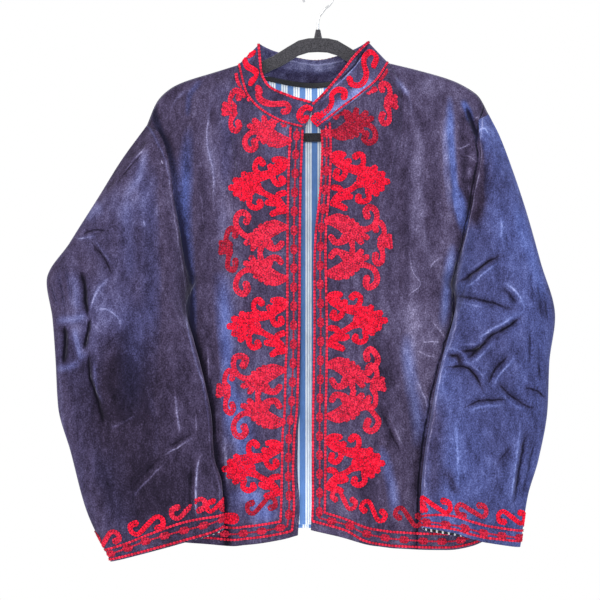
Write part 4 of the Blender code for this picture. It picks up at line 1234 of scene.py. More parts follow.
def plain_cloth_material(name, color, lighter, scale):
    material, tree, shader = new_material(name, Roughness=0.9, Specular_IOR_Level=0.2,
                                          Sheen_Weight=0.3, Sheen_Tint=(0.7, 0.7, 0.75, 1))
    grain = noise(tree, scale)
    tree.links.new(color_ramp(tree, grain, [(0.35, color), (0.65, lighter)]), shader.inputs["Base Color"])
    add_bump(tree, shader, grain, 0.0004)
    return material


def metal_material(name, color, roughness):
    material, tree, shader = new_material(name, Metallic=1.0)
    shader.inputs["Base Color"].default_value = (*color, 1)
    marks = noise(tree, 300, detail=4)
    rough = calculate(tree, "MULTIPLY_ADD", marks, 0.16, roughness)
    tree.links.new(rough, shader.inputs["Roughness"])
    tint = color_ramp(tree, marks, [(0.3, tuple(c * 0.85 for c in color)), (0.7, color)])
    tree.links.new(tint, shader.inputs["Base Color"])
    return material


# Meshes.
def mesh_from(name, points, faces, attributes):
    """A mesh from points in millimetres, with its attributes given per point."""
    data = bpy.data.meshes.new(name)
    data.from_pydata((points * MM).tolist(), [], faces)
    for label, values in attributes.items():
        if values.ndim == 2:
            attribute = data.attributes.new(label, "FLOAT_VECTOR", "POINT")
            attribute.data.foreach_set("vector", values.astype(np.float32).ravel())
        else:
            attribute = data.attributes.new(label, "FLOAT", "POINT")
            attribute.data.foreach_set("value", values.astype(np.float32))
    data.shade_smooth()
    return data


def add_piece(name, data, materials):
    piece = bpy.data.objects.new(name, data)
    for material in materials:
        data.materials.append(material)
    bpy.context.scene.collection.objects.link(piece)
    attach(piece, "root")
    return piece


def grid_faces(rows, columns, closed=False, turned=False):
    faces = []
    for i in range(rows if closed else rows - 1):
        after = (i + 1) % rows
        for j in range(columns - 1):
            face = (i * columns + j, i * columns + j + 1, after * columns + j + 1, after * columns + j)
            faces.append(face[::-1] if turned else face)
    return faces


def cloth_piece(name, points, wall, materials, attributes, closed=False, turned=False):
    """A grid of points as one thin cloth. Its inner face takes the last material."""
    rows, columns = points.shape[:2]
    flat = {label: values.reshape(rows * columns, -1).squeeze() for label, values in attributes.items()}
    data = mesh_from(name, points.reshape(-1, 3), grid_faces(rows, columns, closed, turned), flat)
    piece = add_piece(name, data, materials)
    shell = piece.modifiers.new("Wall", "SOLIDIFY")
    shell.thickness = wall * MM
    shell.offset = 0
    shell.material_offset = len(materials) - 1
    return piece


def nap(panel, creases, points):
    """What a panel's nap does at each point, with painted shade, painted highlights and painted cool light:
    how light and blue it lies, and its layers of lines.
    """
    light, blue, layers = crease_nap_and_painted_light(creases, points[..., 0], points[..., 2])
    base_light, base_blue = PANEL_TONE_AND_PAINTED_LIGHT[panel]
    tone = np.stack([light + base_light, blue + base_blue, np.zeros_like(light)], axis=-1)
    return {"tone": tone} | {f"line_{number}": layer for number, layer in enumerate(layers)}


def spread(count, low=0.0, high=1.0, pull=0.0):
    """Even shares from low to high, drawn towards both ends."""
    t = np.linspace(0, 1, count)
    eased = (1 - np.cos(math.pi * t)) / 2
    return low + (high - low) * (t + (eased - t) * pull)


def build_fronts(velvet, lining):
    made = {}
    for side in ("right", "left"):
        columns = np.concatenate([spread(FRONT_GRID[0] // 2, 0, NECK_SHARE, PART_PULL)[:-1],
                                  spread(FRONT_GRID[0] // 2, NECK_SHARE, 1, PART_PULL)])
        across, down = np.meshgrid(columns, spread(FRONT_GRID[1], pull=DOWN_PULL), indexing="ij")
        points = front_sheet(side, across, down)
        marks = FRONT_CREASES[side] + SLEEVE_SHADOWS[side]
        attributes = nap(f"front_{side}", marks, points) | {"across": points[..., 0]}
        piece = cloth_piece(f"front_{side}_cloth", points, VELVET_WALL, (velvet, lining),
                            attributes, turned=side == "right")
        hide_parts(f"front_{side}")
        made[f"front_{side}"] = piece, points
    return made


def build_back(velvet, lining):
    right_part, left_part = BACK_PARTS
    third = BACK_GRID[0] // 3
    columns = np.concatenate([spread(third, 0, right_part, PART_PULL)[:-1],
                              spread(third, right_part, left_part, NECK_PULL)[:-1],
                              spread(third, left_part, 1, PART_PULL)])
    across, down = np.meshgrid(columns, spread(BACK_GRID[1], pull=DOWN_PULL), indexing="ij")
    points = back_sheet(across, down)
    marks = BACK_CREASES + SLEEVE_SHADOWS["right"] + SLEEVE_SHADOWS["left"]
    attributes = nap("back", marks, points) | {"across": points[..., 0]}
    piece = cloth_piece("back_cloth", points, VELVET_WALL, (velvet, lining), attributes,
                        turned=True)
    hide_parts("back")
    return {"back": (piece, points)}


def build_sleeves(velvet, lining):
    made = {}
    for side in ("right", "left"):
        turns = np.concatenate([spread(SLEEVE_GRID[0], 0, math.pi, PART_PULL)[:-1],
                                spread(SLEEVE_GRID[1], math.pi, 2 * math.pi, PART_PULL)[:-1]])
        turn, down = np.meshgrid(turns, spread(SLEEVE_GRID[2], pull=SLEEVE_PULL), indexing="ij")
        points = sleeve_sheet(side, turn, down)
        ahead = turn < math.pi
        front = nap(f"sleeve_{side}", SLEEVE_CREASES[side] + SLEEVE_EDGE_HIGHLIGHTS[side], points)
        behind = nap(f"sleeve_{side}", SLEEVE_BACK_CREASES[side] + SLEEVE_EDGE_HIGHLIGHTS[side], points)
        attributes = {label: np.where(ahead[..., None], front[label], behind[label]) for label in front}
        ring = np.linalg.norm(np.roll(points, -1, axis=0) - points, axis=-1)[:, -1]
        attributes["across"] = np.cumsum(ring)[:, None] * np.ones_like(down)
        piece = cloth_piece(f"sleeve_{side}_cloth", points, VELVET_WALL, (velvet, lining),
                            attributes, closed=True, turned=side == "left")
        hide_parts(f"sleeve_{side}")
        made[f"sleeve_{side}"] = piece, points
    return made


def build_collar(velvet, inside):
    places = np.linspace(0, 1, COLLAR_GRID[0])
    place, up = np.meshgrid(places, np.linspace(1, 0, COLLAR_GRID[1]), indexing="ij")
    points = collar_sheet(place, up)
    along = collar_lengths(places)[:, None] * np.ones_like(up)
    from_top = np.linalg.norm(points[:, :1] - points, axis=-1)
    height = from_top[:, -1:] - from_top
    place_in = np.stack([along, np.zeros_like(along), height], axis=-1)
    piece = cloth_piece("collar_cloth", points, VELVET_WALL, (velvet, inside),
                        nap("collar", COLLAR_MARKS, place_in), turned=True)
    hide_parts("collar")
    return {"collar": (piece, points)}


def build_lining(cotton):
    """The back's striped lining, just inside it."""
    columns = np.linspace(*LINING_SIDES, LINING_GRID[0])
    rows = np.linspace(*LINING_ROWS, LINING_GRID[1])
    across, down = np.meshgrid(columns, rows, indexing="ij")
    points = moved(back_sheet, across, down, -LINING_INSET)
    attributes = {"across": points[..., 0] + STRIPE_SHIFT}
    piece = cloth_piece("lining_back_cloth", points, LINING_WALL, (cotton,), attributes)
    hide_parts("lining_back")
    return {"lining_back": (piece, points)}


def build_tape(tape):
    """The black tape over the neck seam."""
    right_part, left_part = BACK_PARTS
    across = np.linspace(right_part + TAPE_ENDS, left_part - TAPE_ENDS, TAPE_GRID[0])
    drops = np.linspace(TAPE_DROP, TAPE_DROP + TAPE_HEIGHT, TAPE_GRID[1]) / BACK_LENGTH
    across, down = np.meshgrid(across, drops, indexing="ij")
    points = moved(back_sheet, across, down, -TAPE_INSET)
    piece = cloth_piece("neck_tape_cloth", points, TAPE_WALL, (tape,), {})
    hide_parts("neck_tape")
    return {"neck_tape": (piece, points)}


# Embroidery: a link of chain stitch. It is partly sunk in the cloth and its strands rise a little out of
# it. Links differ in size and shade.
LINK_LENGTH = 4.4
LINK_STEP = 3.6
LINK_WIDTH = 3.2
LINK_HEIGHT = 1.7
LINK_SUNK = 0.35
LINK_RISE = 0.105
LINK_UNEVEN = 0.08
LINK_SHADE = 0.64
LINK_SHADES = 0.15
# Columns: place along the link, width, height, lightness, which paints shade towards the link's ends.
LINK_STATIONS = [(-0.5, 0.5, 0.45, 0.2), (0.08, 1.0, 1.0, 1.0), (0.5, 0.7, 0.8, 0.6)]
# Columns: place across the link, height: two strands with a groove between them. The height also paints
# shade into the groove and along the link's edges.
LINK_PROFILE = [(-0.5, 0.0), (-0.27, 1.0), (0.0, 0.3), (0.27, 1.0), (0.5, 0.0)]
STITCH_SEEDS = {"front_right": 11, "front_left": 12, "back": 13, "sleeve_right": 14, "sleeve_left": 15,
                "collar": 16}
# The size of the links in border lines, and in the lines that the beads are on.
LINE_SCALE = 1.25
BEAD_LINE_SCALE = 0.9
# The tone and the size of a band's low line, line of beads and high line.
BAND_THREADS = (("mid", LINE_SCALE), ("deep", BEAD_LINE_SCALE), ("mid", LINE_SCALE))
# A share of the way up from a lower edge, over which millimetres are measured there, and a share of the
# way across for those beside a front's free edge.
EDGE_REACH = 0.03
BESIDE_REACH = 0.04
# A place behind the cloth that each piece of embroidery is sewn to, to tell its outer side.
FRONT_BEHIND = (0, 4000, -450)
BACK_BEHIND = (0, -4000, -450)
COLLAR_BEHIND = (-6, -8, -150)
# From where the cloth is looked for, in front or behind.
RAY_START = 400
# Rows of links in a filled shape: their pitch, how close two links come, how far the outer row spills over
# the outline, the shortest row, and the distance over which a link's heading is measured.
ROW_PITCH = 2.75
LINK_CLEARANCE = 2.05
FILL_SPILL = 0.25
SHORTEST_ROW = 3
HEADING_REACH = 0.8
# The grid on which a shape's outline is found, and the cells in which its links are looked up.
FILL_CELL = 0.5
FILL_HASH = 2.0
# How many places are read along a front's edge, along a hem, round a cuff and its overlap, and round a neck.
EDGE_PLACES = 400
HEM_PLACES = 300
CUFF_PLACES = 500
CUFF_PLACES_PAST = 700
CUFF_PAST = 1.5
COLLAR_PLACES = 700
# Where a front's border lines start, as a share of the way down.
BORDER_TOP = 0.004

# Motifs, as strokes: places outwards and upwards of the motif's own place, then the widths along them.
BLOOM = [
    ([(42, -2), (60, -4)], (13, 31)),
    ([(48, 3), (60.5, 13.5)], (10, 9)),
    ([(48, 1), (71, 6.5)], (10, 9)),
    ([(48, -3), (77.5, -3.5)], (10, 9)),
    ([(48, -5), (70.5, -12.5)], (10, 9)),
    ([(46, -6), (62, -19.5)], (10, 9)),
    ([(55, 11), (41, 10.5), (27, 12.5), (17, 18)], (10, 15, 12, 10)),
    ([(18, 17), (12, 25)], (12, 13)),
    ([(15.5, 17), (6.5, 22.5), (4.5, 29.5), (11.5, 33), (18.5, 32)], (10, 9.5, 9, 8.5, 8)),
    ([(17, 19), (24.5, 22.5)], (10, 8.5)),
    ([(21.5, 13), (19.5, 5), (14, -0.5), (7, 2.5), (9, 7.5)], (9, 7.5, 8, 8, 9)),
    ([(38, 12), (44.5, 20), (44.5, 29), (39, 33), (34.5, 29)], (10, 7.5, 7.5, 8, 9.5)),
    ([(52, -18), (52, -27.5), (45, -32), (38, -29), (39, -24.5)], (9, 7.5, 8, 8, 9)),
    ([(41, -7), (35.5, -10), (27, -15), (17, -20.5)], (12, 8, 8, 9)),
    ([(15.5, -20), (12, -14), (6, -12.5)], (9, 8.5, 8.5)),
    ([(14, -25.5), (21, -26), (27.5, -25)], (11, 9, 8.5)),
    ([(15, -22), (9.5, -29), (4.5, -35)], (10, 13, 9)),
    ([(6.5, -34), (14, -37.5), (20.5, -40)], (12, 9.5, 8.5)),
]
LEAF = [
    ([(3, 35), (17, 34.5), (30, 27), (42.5, 18)], (9, 21, 22, 15)),
    ([(24, 31), (28, 39)], (9, 8.5)),
    ([(30, 28), (35.5, 35.5)], (9, 8.5)),
    ([(36, 24), (42, 30)], (9, 8.5)),
    ([(40, 20), (56, 13.5)], (9, 8)),
    ([(38, 18), (48, 6.5)], (10, 8.5)),
    ([(33, 20), (36.5, 2)], (12, 7.5)),
    ([(27, 13), (21.5, 7), (13, 6.5), (8, 13)], (14, 9, 9, 8.5)),
    ([(41, 23.5), (55, 23.5), (65, 30.5), (70, 41), (67, 51), (59.5, 54.5), (54, 49.5), (56, 42)],
     (12, 8.5, 7.5, 7.5, 8, 8.5, 9, 10)),
]
HALF_LEAF = LEAF[:-1] + [
    ([(39, 22), (50, 21), (58, 26), (62, 34), (60, 43), (53, 46.5), (47.5, 42), (49, 35)],
     (12, 8.5, 7.5, 7.5, 8, 8.5, 9, 10)),
]
BUD = [
    ([(80, 0), (86, 1)], (13, 16)),
    ([(84, 3), (89.5, 8)], (8, 8)),
    ([(84, -1), (90.5, -4.5)], (8, 8)),
    ([(79, 5), (82.5, 13), (81.5, 23), (75.5, 28), (70.5, 24), (71.5, 18)], (10, 7, 7, 8, 8, 9)),
    ([(78, -4), (81, -14), (80, -25), (73.5, -29), (70, -23), (71, -17)], (10, 7, 7, 8, 8, 9)),
]
# An S of stitches: its line as points from its middle, and its widths.
SCROLL = ([(-12.5, 4.5), (-18.5, 2), (-18.5, -6), (-11.5, -9.5), (0, 0), (11.5, 9.5), (18.5, 6), (18.5, -2),
           (12.5, -4.5)],
          (8.8, 6.6, 6.2, 6.4, 7, 6.4, 6.2, 6.6, 8.8))
# By how much a small scroll's stroke is broader for its size.
SCROLL_BROADER = 0.08
STROKE_SPACING = 0.8
# How far a stroke's places stray from one repeat of a motif to the next.
HAND_SHIFT = 0.8
HAND_SEEDS = {"right": 21, "left": 22}
# How much higher a bud sits than its pair or half pair of leaves.
BUD_LIFT = {"half": 9, "pair": 6}

# The border lines of a front, in from its free edge. Columns: share of the way down, inset.
EDGE_LINE = {
    "right": [(0, 2), (0.4, 2.2), (0.6, 3.4), (0.8, 5.2), (0.95, 8.2), (1, 9)],
    "left": [(0, 2), (0.5, 1.8), (1, 1.8)],
}
BEAD_LINE = {
    "right": [(0, 9.6), (0.5, 9.8), (0.7, 11.5), (0.85, 12.5), (1, 17)],
    "left": [(0, 9.6), (0.5, 10.4), (1, 10.6)],
}
OUTER_LINE = {
    "right": [(0, 18.5), (0.5, 18.6), (0.6, 20.5), (0.82, 20.8), (0.95, 26), (1, 26)],
    "left": [(0, 16.5), (0.1, 17), (0.5, 19.4), (0.75, 18.4), (1, 18)],
}
# The same lines above the hem. Columns: share of the way across, height.
LOW_LINE = {"right": [(0, 8.7), (1, 9)], "left": [(0, 13), (0.2, 11), (0.3, 5), (0.4, 3.6), (1, 4)]}
LOW_BEADS = {"right": [(0, 17), (1, 16)], "left": [(0, 19), (0.2, 19), (0.3, 15), (0.5, 12.5), (1, 11)]}
HIGH_LINE = {"right": [(0, 25.5), (1, 25)], "left": [(0, 29), (0.2, 26), (0.35, 22.5), (0.6, 22), (1, 21.5)]}
# A bead's length and width, where the first one is, and the way to the next.
BEAD_SIZE = (13.5, 9.5)
BEAD_START = 10.2
BEAD_STEP = 25.5
BEAD_POINTS = 9
# The hem's band on the back: its lines above the hem, by the share of the way from right to left, its
# scrolls' height, then their x and tone.
BACK_LOW = [(0, 9), (1, 4)]
BACK_BEADS = [(0, 16), (1, 11)]
BACK_HIGH = [(0, 25), (1, 21.5)]
BACK_SCROLL_LIFT = 42.0
BACK_SCROLLS = [(-186, "mid"), (-143, "bright"), (-100, "mid"), (-57, "bright"), (-14, "mid"),
                (29, "bright"), (72, "dark"), (115, "bright"), (158, "mid"), (201, "bright")]

# Where the motifs of a front sit. Columns: height, motif, tone of its thread, tone and shift of its bud.
FRONT_MOTIFS = {
    "right": [(-194, "half", "mid", "mid", 0), (-287, "bloom", "bright", None, 0),
              (-380, "pair", "mid", "dark", 0), (-476, "bloom", "bright", None, 0),
              (-573, "pair", "mid", "mid", 0), (-668, "bloom", "bright", None, 0)],
    "left": [(-184, "half", "dark", "mid", 0), (-279, "bloom", "bright", None, 0),
             (-372, "pair", "mid", "mid", -3), (-468, "bloom", "bright", None, 0),
             (-565, "pair", "mid", "mid", -14), (-660, "bloom", "bright", None, 0)],
}
# Small strokes beside the neck and above the hem. Columns: places, widths, tone.
SMALL_STROKES = {
    "right": [([(-113, -133), (-111, -143), (-106, -153)], (4.5, 5, 4.5), "mid"),
              ([(-104.5, -158), (-100.5, -165)], (6, 6), "mid"), ([(-95, -170), (-89, -174)], (5, 5), "mid"),
              ([(-138, -742), (-127, -737), (-115, -737)], (7, 14, 16), "bright")],
    "left": [([(66, -164), (71, -161), (76, -157)], (4, 5, 8.5), "mid"),
             ([(84, -144), (90, -136), (95, -128)], (4.5, 5, 4.5), "deep")],
}
# Scrolls above a front's hem. Columns: x, z, degrees, whether it is turned over, size, tone.
HEM_SCROLLS = {
    "right": [(-77, -720, 6, False, 1.0, "dark")],
    "left": [(34, -712, -22, True, 0.88, "mid"), (74, -728, -24, True, 0.92, "bright"),
             (121, -735, -14, True, 0.95, "dark"), (163, -740, 0, True, 0.95, "mid"),
             (203, -738, 6, True, 0.9, "bright")],
}
# Scrolls round a cuff. Columns: angle round the sleeve, height above its edge, degrees, size, tone.
CUFF_SCROLLS = {
    "right": [(0.5, 31, -4, 0.95, "mid"), (1.42, 35, -10, 1.05, "bright"), (2.02, 42, -5, 1.05, "mid"),
              (2.85, 36, -14, 0.88, "bright"), (3.6, 34, 0, 0.9, "mid"), (4.1, 34, 0, 1.0, "bright"),
              (4.6, 34, 0, 1.0, "mid"), (5.1, 34, 0, 1.0, "bright"), (5.65, 34, 0, 1.0, "dark")],
    "left": [(0.79, 38, -14, 0.98, "bright"), (1.62, 37, -24, 1.02, "deep"), (2.42, 33, -14, 1.05, "bright"),
             (3.5, 30, 0, 0.85, "mid"), (4.05, 32, 0, 1.0, "bright"), (4.55, 32, 0, 1.0, "mid"),
             (5.05, 32, 0, 1.0, "bright"), (5.6, 34, 0, 1.0, "mid")],
}
# The lines round a cuff, above its edge. Columns: angle round the sleeve, height.
CUFF_LOW = {"right": [(0, 3.5), (6.3, 3.5)],
            "left": [(0, 8.5), (0.9, 7.5), (1.5, 6), (1.9, 5), (3.1, 3), (4, 4), (6.3, 8.5)]}
CUFF_BEADS = {"right": [(0, 9.5), (0.9, 12.5), (1.5, 16), (3.1, 14), (6.3, 9.5)],
              "left": [(0, 13), (1.5, 12), (2.2, 9), (3.1, 8), (4, 11), (6.3, 13)]}
CUFF_HIGH = {"right": [(0, 17), (0.9, 19), (1.9, 26), (3.1, 19), (4.5, 22), (6.3, 17)],
             "left": [(0, 22), (1.2, 22), (1.9, 23), (2.6, 18), (3.1, 14), (4, 20), (6.3, 22)]}

# The collar's lines: the low one up from its seam, by the share of the way round, and the high one down
# from its upper edge. They start a little in from the end.
COLLAR_LOW = [(0, 1.4), (0.78, 1.4), (0.9, 3.2), (1, 4.0)]
COLLAR_HIGH = 2.1
COLLAR_LINE_SCALES = (1.15, 1.4)
COLLAR_LINE_START = 4
# Strokes on the collar: millimetres along it from its right end, and up from its seam, then the widths.
COLLAR_STROKES = [
    ([(139, 22), (136.5, 29)], (9, 8.5), "bright"),
    ([(139, 12), (127.7, 14), (113.5, 23.8), (102.5, 29.5), (99.5, 23.6), (101, 15)],
     (9, 8.5, 8, 8.5, 8.5, 11), "bright"),
    ([(84, 20), (79, 20), (75.5, 14), (67, 12), (54.6, 15.4), (42.4, 21.8), (32.7, 26.5), (26.7, 23.5),
      (27.4, 17.4), (31.7, 14.6)], (10, 12, 10, 10, 9, 8, 8.5, 8, 8, 9), "mid"),
    ([(2.5, 29), (6.9, 29.5), (11.5, 23), (11.2, 14), (5.4, 9.8), (3.4, 15)],
     (8, 8, 7.5, 8, 10, 8), "bright"),
    ([(371, 16), (356.5, 19), (357.5, 30), (372.4, 33.6), (382.5, 28), (388.5, 18.8), (399.3, 12.3),
      (409.9, 12.5), (417, 20.5), (414.8, 27.7)],
     (9, 8.5, 8.5, 8.5, 8.5, 8.5, 8.5, 8.5, 8.5, 9.5), "bright"),
    ([(437, 13), (432.6, 19), (439.8, 26.7), (450.8, 26.6), (456, 18.4), (464.4, 13.2), (474, 11.5)],
     (10, 9, 8.5, 8, 8, 8, 9), "bright"),
    ([(478, 12), (482, 11)], (13, 12), "bright"),
    ([(162, 15), (152, 18), (152, 28), (166, 30)], (8, 8, 8, 8.5), "mid"),
    ([(186, 12), (180, 18), (186, 27), (198, 26), (206, 16), (216, 12), (224, 20), (220, 28)],
     (9, 8, 8, 8, 8, 8, 8, 9), "bright"),
    ([(246, 12), (240, 18), (246, 27), (258, 26), (266, 16), (276, 12), (284, 20), (280, 28)],
     (9, 8, 8, 8, 8, 8, 8, 9), "mid"),
    ([(306, 12), (300, 18), (306, 27), (318, 26), (326, 16), (336, 14)], (9, 8, 8, 8, 8, 9), "bright"),
]


def stroke(places, widths):
    """A stroke's smooth line through places, and its width at each point of it."""
    line = through(places, STROKE_SPACING)
    share = np.linspace(0, 1, len(line))
    return line, np.interp(share, np.linspace(0, 1, len(widths)), widths)


def strokes_of(motif, hand):
    """A motif's strokes, each a little different every time, as a hand makes them."""
    made = []
    for places, widths in motif:
        strayed = [(u + hand.uniform(-HAND_SHIFT, HAND_SHIFT), v + hand.uniform(-HAND_SHIFT, HAND_SHIFT))
                   for u, v in places]
        made.append(stroke(strayed, widths))
    return made


def scroll(place, degrees, size, turned_over=False):
    """The stroke of a scroll."""
    points, widths = SCROLL
    points = np.array(points) * size
    if turned_over:
        points[:, 1] *= -1
    angle = math.radians(degrees)
    turn = np.array([[math.cos(angle), -math.sin(angle)], [math.sin(angle), math.cos(angle)]])
    breadth = min(1, size + SCROLL_BROADER)
    return [stroke(points @ turn.T + np.array(place), [width * breadth for width in widths])]


def bead(place, degrees):
    """The stroke of a small oval."""
    length, width = BEAD_SIZE
    angle = math.radians(degrees)
    half = (length - width) / 2 * np.array([math.cos(angle), math.sin(angle)])
    place = np.array(place)
    return [(np.linspace(place - half, place + half, BEAD_POINTS), np.full(BEAD_POINTS, width))]


def stroke_depth(strokes):
    """A fine grid's places, and how deep each lies in the shape that strokes make together."""
    low = np.min([line.min(axis=0) - width.max() for line, width in strokes], axis=0)
    high = np.max([line.max(axis=0) + width.max() for line, width in strokes], axis=0)
    x = np.arange(low[0], high[0], FILL_CELL)
    y = np.arange(low[1], high[1], FILL_CELL)
    depth = np.full((len(x), len(y)), -LINK_WIDTH)
    for line, width in strokes:
        reach = width.max()
        i, i_end = np.searchsorted(x, (line[:, 0].min() - reach, line[:, 0].max() + reach))
        j, j_end = np.searchsorted(y, (line[:, 1].min() - reach, line[:, 1].max() + reach))
        places = np.stack(np.meshgrid(x[i:i_end], y[j:j_end], indexing="ij"), axis=-1)
        gap = np.linalg.norm(places[:, :, None] - line, axis=-1)
        own = (width / 2 - gap).max(axis=-1)
        depth[i:i_end, j:j_end] = np.maximum(depth[i:i_end, j:j_end], own)
    return x, y, depth


def level_lines(x, y, field, level):
    """The lines along which a field on a grid has a level, by marching squares."""
    above = field > level
    around = np.stack([above[:-1, :-1], above[1:, :-1], above[:-1, 1:], above[1:, 1:]])
    mixed = np.argwhere(around.any(axis=0) & ~around.all(axis=0))
    nexts = {}
    for i, j in mixed.tolist():
        corners = ((i, j), (i + 1, j), (i + 1, j + 1), (i, j + 1))
        crossed = [(a, b) for a, b in zip(corners, corners[1:] + corners[:1]) if above[a] != above[b]]
        keys = [tuple(sorted(edge)) for edge in crossed]
        for first, second in zip(keys[::2], keys[1::2]):
            nexts.setdefault(first, []).append(second)
            nexts.setdefault(second, []).append(first)

    def crossing(edge):
        a, b = edge
        t = (level - field[a]) / (field[b] - field[a])
        return x[a[0]] + t * (x[b[0]] - x[a[0]]), y[a[1]] + t * (y[b[1]] - y[a[1]])

    lines = []
    while nexts:
        start = next(iter(nexts))
        line = [start]
        while line[-1] in nexts:
            ways = [way for way in nexts.pop(line[-1]) if way in nexts]
            if not ways:
                break
            line.append(ways[0])
        lines.append(np.array([crossing(edge) for edge in line + [start]]))
    return lines


def stitches_along(row, pitch):
    """Places and headings of links along a line, about a pitch apart."""
    lengths = lengths_along(row)
    count = max(1, round(lengths[-1] / pitch))
    at = (np.arange(count) + 0.5) / count * lengths[-1]

    def read(where):
        return np.stack([np.interp(where, lengths, row[:, k]) for k in (0, 1)], axis=1)

    middle, ahead, behind = read(at), read(at + HEADING_REACH), read(at - HEADING_REACH)
    heading = np.arctan2(ahead[:, 1] - behind[:, 1], ahead[:, 0] - behind[:, 0])
    return np.concatenate([middle, heading[:, None]], axis=1)


def fill(strokes):
    """Fills the shape that strokes make together with rows of links that follow its outline inwards."""
    x, y, rough = stroke_depth(strokes)
    outline = np.concatenate(level_lines(x, y, rough, 0))
    inside = np.argwhere(rough > 0)
    places = np.stack([x[inside[:, 0]], y[inside[:, 1]]], axis=1)
    depth = np.minimum(rough, 0)
    depth[inside[:, 0], inside[:, 1]] = nearest_gap(places, outline)[0]
    kept = []
    cells = {}

    def lay(stitch):
        cell = (int(stitch[0] // FILL_HASH), int(stitch[1] // FILL_HASH))
        about = [(cell[0] + dx, cell[1] + dy) for dx in (-1, 0, 1) for dy in (-1, 0, 1)]
        near = [place for key in about for place in cells.get(key, ())]
        if all((stitch[0] - u) ** 2 + (stitch[1] - v) ** 2 > LINK_CLEARANCE**2 for u, v in near):
            cells.setdefault(cell, []).append((stitch[0], stitch[1]))
            kept.append(stitch)

    for level in np.arange(LINK_WIDTH / 2 - FILL_SPILL, depth.max(), ROW_PITCH):
        for line in level_lines(x, y, depth, level):
            if len(line) > SHORTEST_ROW:
                for stitch in stitches_along(line, LINK_STEP):
                    lay(stitch)
    deep = places[depth[inside[:, 0], inside[:, 1]] > LINK_WIDTH / 2 - FILL_SPILL]
    laid = np.array(kept)
    gap, which = nearest_gap(deep, laid[:, :2])
    for k in np.argsort(-gap):
        if gap[k] > LINK_CLEARANCE:
            lay((*deep[k], laid[which[k], 2]))
    return np.array(kept)


class Stitching:
    """Gathers the links of one embroidered piece and makes its mesh."""

    def __init__(self, panel, inside):
        self.name = f"{panel}_embroidery"
        self.draw = np.random.default_rng(STITCH_SEEDS[panel])
        self.inside = np.array(inside, float)
        self.parts = []

    def add(self, centre, tangent, across, tone, scale=1.0):
        """Adds links at places, from the cloth's directions along and across them."""
        normal = np.cross(tangent, across)
        length = np.linalg.norm(normal, axis=1)
        found = np.isfinite(centre).all(axis=1) & np.isfinite(length) & (length > 1e-6)
        centre, tangent, normal = centre[found], tangent[found], normal[found] / length[found, None]
        inwards = ((centre - self.inside) * normal).sum(axis=1) < 0
        normal[inwards] *= -1
        tangent = tangent / np.linalg.norm(tangent, axis=1, keepdims=True)
        scales = np.full(len(centre), scale)
        tones = np.full(len(centre), list(THREADS).index(tone))
        self.parts.append((centre, tangent, normal, scales, tones))

    def cover(self, strokes, surface, tone):
        """Covers the shape that strokes make together, on a surface that gives a place for u and v."""
        u, v, heading = fill(strokes).T
        along = np.cos(heading)
        up = np.sin(heading)
        tangent = surface(u + along, v + up) - surface(u - along, v - up)
        across = surface(u - up, v + along) - surface(u + up, v - along)
        self.add(surface(u, v), tangent, across, tone)

    def lay_row(self, row, sheet, tone, scale):
        """Lays one row of links along places on a sheet."""
        points = sheet(row[:, 0], row[:, 1])
        lengths = lengths_along(points)
        at = np.arange(LINK_STEP * scale / 2, lengths[-1], LINK_STEP * scale)

        def read(where):
            return [np.interp(where, lengths, row[:, k]) for k in (0, 1)]

        a, b = read(at)
        tangent = sheet(*read(at + 1)) - sheet(*read(at - 1))
        wide = sheet(a + NORMAL_STEP, b) - sheet(a - NORMAL_STEP, b)
        tall = sheet(a, b - NORMAL_STEP) - sheet(a, b + NORMAL_STEP)
        across = np.cross(np.cross(wide, tall), tangent)
        self.add(sheet(a, b), tangent, across, tone, scale)

    def build(self, threads):
        """Makes the piece, with each link a little different in size and shade, and with painted shade in its
        groove, along its edges and towards its ends.
        """
        place, tangent, normal, scale, tone = (np.concatenate(part) for part in zip(*self.parts))
        aside = np.cross(normal, tangent)
        count = len(place)
        size = scale * self.draw.uniform(1 - LINK_UNEVEN, 1 + LINK_UNEVEN, count)
        shade = np.clip(self.draw.normal(LINK_SHADE, LINK_SHADES, count), 0, 1)
        points = np.zeros((count, len(LINK_STATIONS), len(LINK_PROFILE), 3))
        tone_and_painted_shade = np.zeros(points.shape[:-1])
        for i, (along, wide, tall, light) in enumerate(LINK_STATIONS):
            ahead = tangent * (along * LINK_LENGTH * scale)[:, None]
            for j, (across, high) in enumerate(LINK_PROFILE):
                lift = VELVET_WALL / 2 - LINK_SUNK + LINK_RISE * high + LINK_HEIGHT * high * tall * size
                sideways = aside * (across * wide * LINK_WIDTH * size)[:, None]
                points[:, i, j] = place + ahead + normal * lift[:, None] + sideways
                # Painted shade: darker in the groove, at the edges and towards the ends, times the link's own
                # shade.
                tone_and_painted_shade[:, i, j] = shade * light * high
        each = len(LINK_STATIONS) * len(LINK_PROFILE)
        faces = link_faces(np.arange(each).reshape(len(LINK_STATIONS), -1).tolist())
        every = [tuple(first + corner for corner in face) for first in range(0, count * each, each)
                 for face in faces]
        data = mesh_from(self.name, points.reshape(-1, 3), every, {"shade": tone_and_painted_shade.reshape(-1)})
        piece = add_piece(self.name, data, threads)
        data.polygons.foreach_set("material_index", np.repeat(tone, len(faces)).astype(np.int32))
        return piece


def link_faces(rows):
    """The faces of one link from its rows of points: its two strands, its ends and its underside."""
    faces = []
    for row, after in zip(rows, rows[1:]):
        for j in range(len(row) - 1):
            faces.append((row[j], after[j], after[j + 1], row[j + 1]))
        faces.append((row[0], row[-1], after[-1], after[0]))
    faces.append(tuple(rows[0]))
    faces.append(tuple(reversed(rows[-1])))
    return faces


